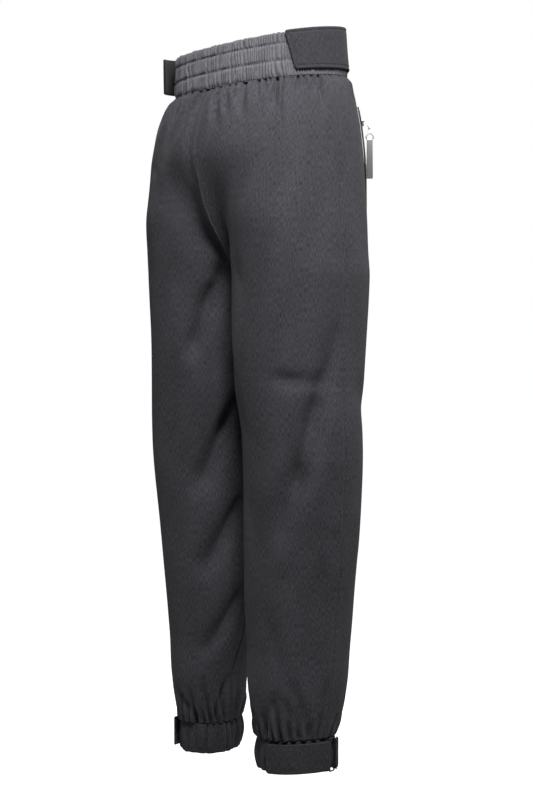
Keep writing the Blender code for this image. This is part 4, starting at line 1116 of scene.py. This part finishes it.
band_stitches = band_rows(FRONT_ENDS, np.linspace(0.01, 0.99, 300), lambda share, down: FRONT_ROW_LIFT)
for side in SIDES:
    t = np.linspace(0.0, 1.0, EDGE_POINTS)
    edge_x, edge_y = STITCH_INSET / tab_length(side), STITCH_INSET / TAB_TALL
    out_along = TAB_ROW_START + t * (1 - TAB_ROW_START - edge_x)
    x = np.concatenate([out_along, np.full(EDGE_POINTS, 1 - edge_x), out_along[::-1]])
    y = np.concatenate([np.full(EDGE_POINTS, edge_y), edge_y + t * (1 - 2 * edge_y),
                        np.full(EDGE_POINTS, 1 - edge_y)])
    band_stitches += stitch_row(*tab_place(side, x, y))
small_bars("band_stitches", band_stitches, thread)
print(len(band_stitches), "stitches on the front band and the tabs")

# %% [markdown]
# On the legs a row runs down each side of the outseam, a little way in. Others cross each panel just under
# the waist seam and just over the cuff.

# %% Stitches on the legs
OUTSEAM_INSET, OUTSEAM_PITCH, LEG_POINTS, ACROSS_POINTS = 0.0045, 0.0036, 900, 700

leg_rows = []
for side in SIDES:
    height = np.linspace(WAIST_SEAM - 0.004, CUFF_SEAM + 0.004, LEG_POINTS)
    for face in ("back", "front"):
        down_the_side = on_panel(f"{face}_{side}", OUTSEAM_INSET / width_at(face, height), height)
        leg_rows += stitch_row(*down_the_side, pitch=OUTSEAM_PITCH)
    for face in ("front", "back"):
        for z in (WAIST_SEAM - 0.0035, CUFF_SEAM + 0.0030):
            share = np.linspace(0.01, 0.99, ACROSS_POINTS)
            leg_rows += stitch_row(*on_panel(f"{face}_{side}", share, np.full(ACROSS_POINTS, z)))
small_bars("leg_stitches", leg_rows, thread)
print(len(leg_rows), "stitches on the legs")

# %% [markdown]
# ## Camera
#
# The picture is taken from behind and to the right, level with the thigh. The long lens keeps the two legs at
# almost the same size.

# %% Camera
DISTANCE, AZIMUTH, CAMERA_HEIGHT, LOOK_DOWN = 2.65, 225.0, -0.337, 2.90
FOCAL_PIXELS, PICTURE_PIXELS, SENSOR = 1865.0, 800.0, 36.0
camera_data = bpy.data.cameras.new("camera")
camera = linked("camera", camera_data)
turn = math.radians(AZIMUTH)
camera.location = (math.sin(turn) * DISTANCE, -math.cos(turn) * DISTANCE, CAMERA_HEIGHT)
camera.rotation_euler = (math.radians(90.0 - LOOK_DOWN), 0.0, turn)
camera_data.sensor_width, camera_data.lens = SENSOR, SENSOR * FOCAL_PIXELS / PICTURE_PIXELS
camera_data.clip_end = 200.0
bpy.context.scene.camera = camera
print("camera at", tuple(round(v, 3) for v in camera.location), "lens", round(camera_data.lens, 1))

# %% [markdown]
# ## Floor and background
#
# The floor and the world are bright only for rays that come straight from the camera, so they look white and
# yet hardly light the cloth from below. Shiny parts see the world at half strength and so have something to
# reflect.

# %% Floor and world
FLOOR_HEIGHT, FLOOR_SIZE, FLOOR_GREY, FLOOR_SHINE = -1.20, 30.0, 0.45, 0.95
SEEN_WORLD, MIRRORED_WORLD, LIT_WORLD = 0.91, 0.45, 0.09

bm = bmesh.new()
bmesh.ops.create_grid(bm, x_segments=1, y_segments=1, size=FLOOR_SIZE)
bmesh.ops.translate(bm, vec=(0.0, 0.0, FLOOR_HEIGHT), verts=bm.verts)
mesh = bpy.data.meshes.new("floor")
bm.to_mesh(mesh)
bm.free()
floor = linked("floor", mesh)
pale, tree, shader = new_material("pale floor")
shader.inputs["Base Color"].default_value = (FLOOR_GREY, FLOOR_GREY, FLOOR_GREY, 1.0)
shader.inputs["Roughness"].default_value = 0.9
shader.inputs["Emission Color"].default_value = (1.0, 1.0, 1.0, 1.0)
seen = tree.nodes.new("ShaderNodeLightPath").outputs["Is Camera Ray"]
tree.links.new(math_node(tree, "MULTIPLY", seen, FLOOR_SHINE), shader.inputs["Emission Strength"])
mesh.materials.append(pale)

world = bpy.data.worlds.new("studio")
bpy.context.scene.world = world
world.use_nodes = True
sky = world.node_tree
rays = sky.nodes.new("ShaderNodeLightPath").outputs
shown = math_node(sky, "MULTIPLY", rays["Is Camera Ray"], SEEN_WORLD)
mirrored = math_node(sky, "MULTIPLY", rays["Is Glossy Ray"], MIRRORED_WORLD)
strength = math_node(sky, "ADD", math_node(sky, "ADD", shown, mirrored), LIT_WORLD)
background = sky.nodes["Background"].inputs
background["Color"].default_value = (1.0, 1.0, 1.0, 1.0)
sky.links.new(strength, background["Strength"])
print("floor at", FLOOR_HEIGHT, "and world", world.name)

# %% [markdown]
# ## Lamps
#
# Five soft square lamps are all turned to the hips. The strongest stands high on the camera's side, so that
# the folds keep their shadows. Two weaker ones soften them, and two light the front.

# %% Lamps
LAMP_SIZE, LIT_POINT = 0.4, Vector((0.0, 0.0, -0.20))
LAMPS = (
    # name, place, power in watts
    ("right lamp", (-1.10, 0.05, 0.70), 8.0),
    ("left lamp", (0.45, 1.10, 0.75), 5.5),
    ("camera lamp", (-0.78, 0.66, 0.80), 34.0),
    ("front lamp", (1.30, -1.00, 0.60), 30.0),
    ("front side lamp", (-0.60, -1.50, 0.60), 10.0),
)
for name, place, power in LAMPS:
    data = bpy.data.lights.new(name, "AREA")
    data.shape, data.size, data.energy = "SQUARE", LAMP_SIZE, power
    lamp = linked(name, data)
    lamp.location = place
    lamp.rotation_euler = (LIT_POINT - Vector(place)).to_track_quat("-Z", "Y").to_euler()
    print(name, "at", place, "with", power, "W")
bpy.context.scene.view_settings.view_transform = "Standard"

# %% [markdown]
# ## Size
# The last cell brings the scene's placements up to date.

# %% Update
bpy.context.view_layer.update()
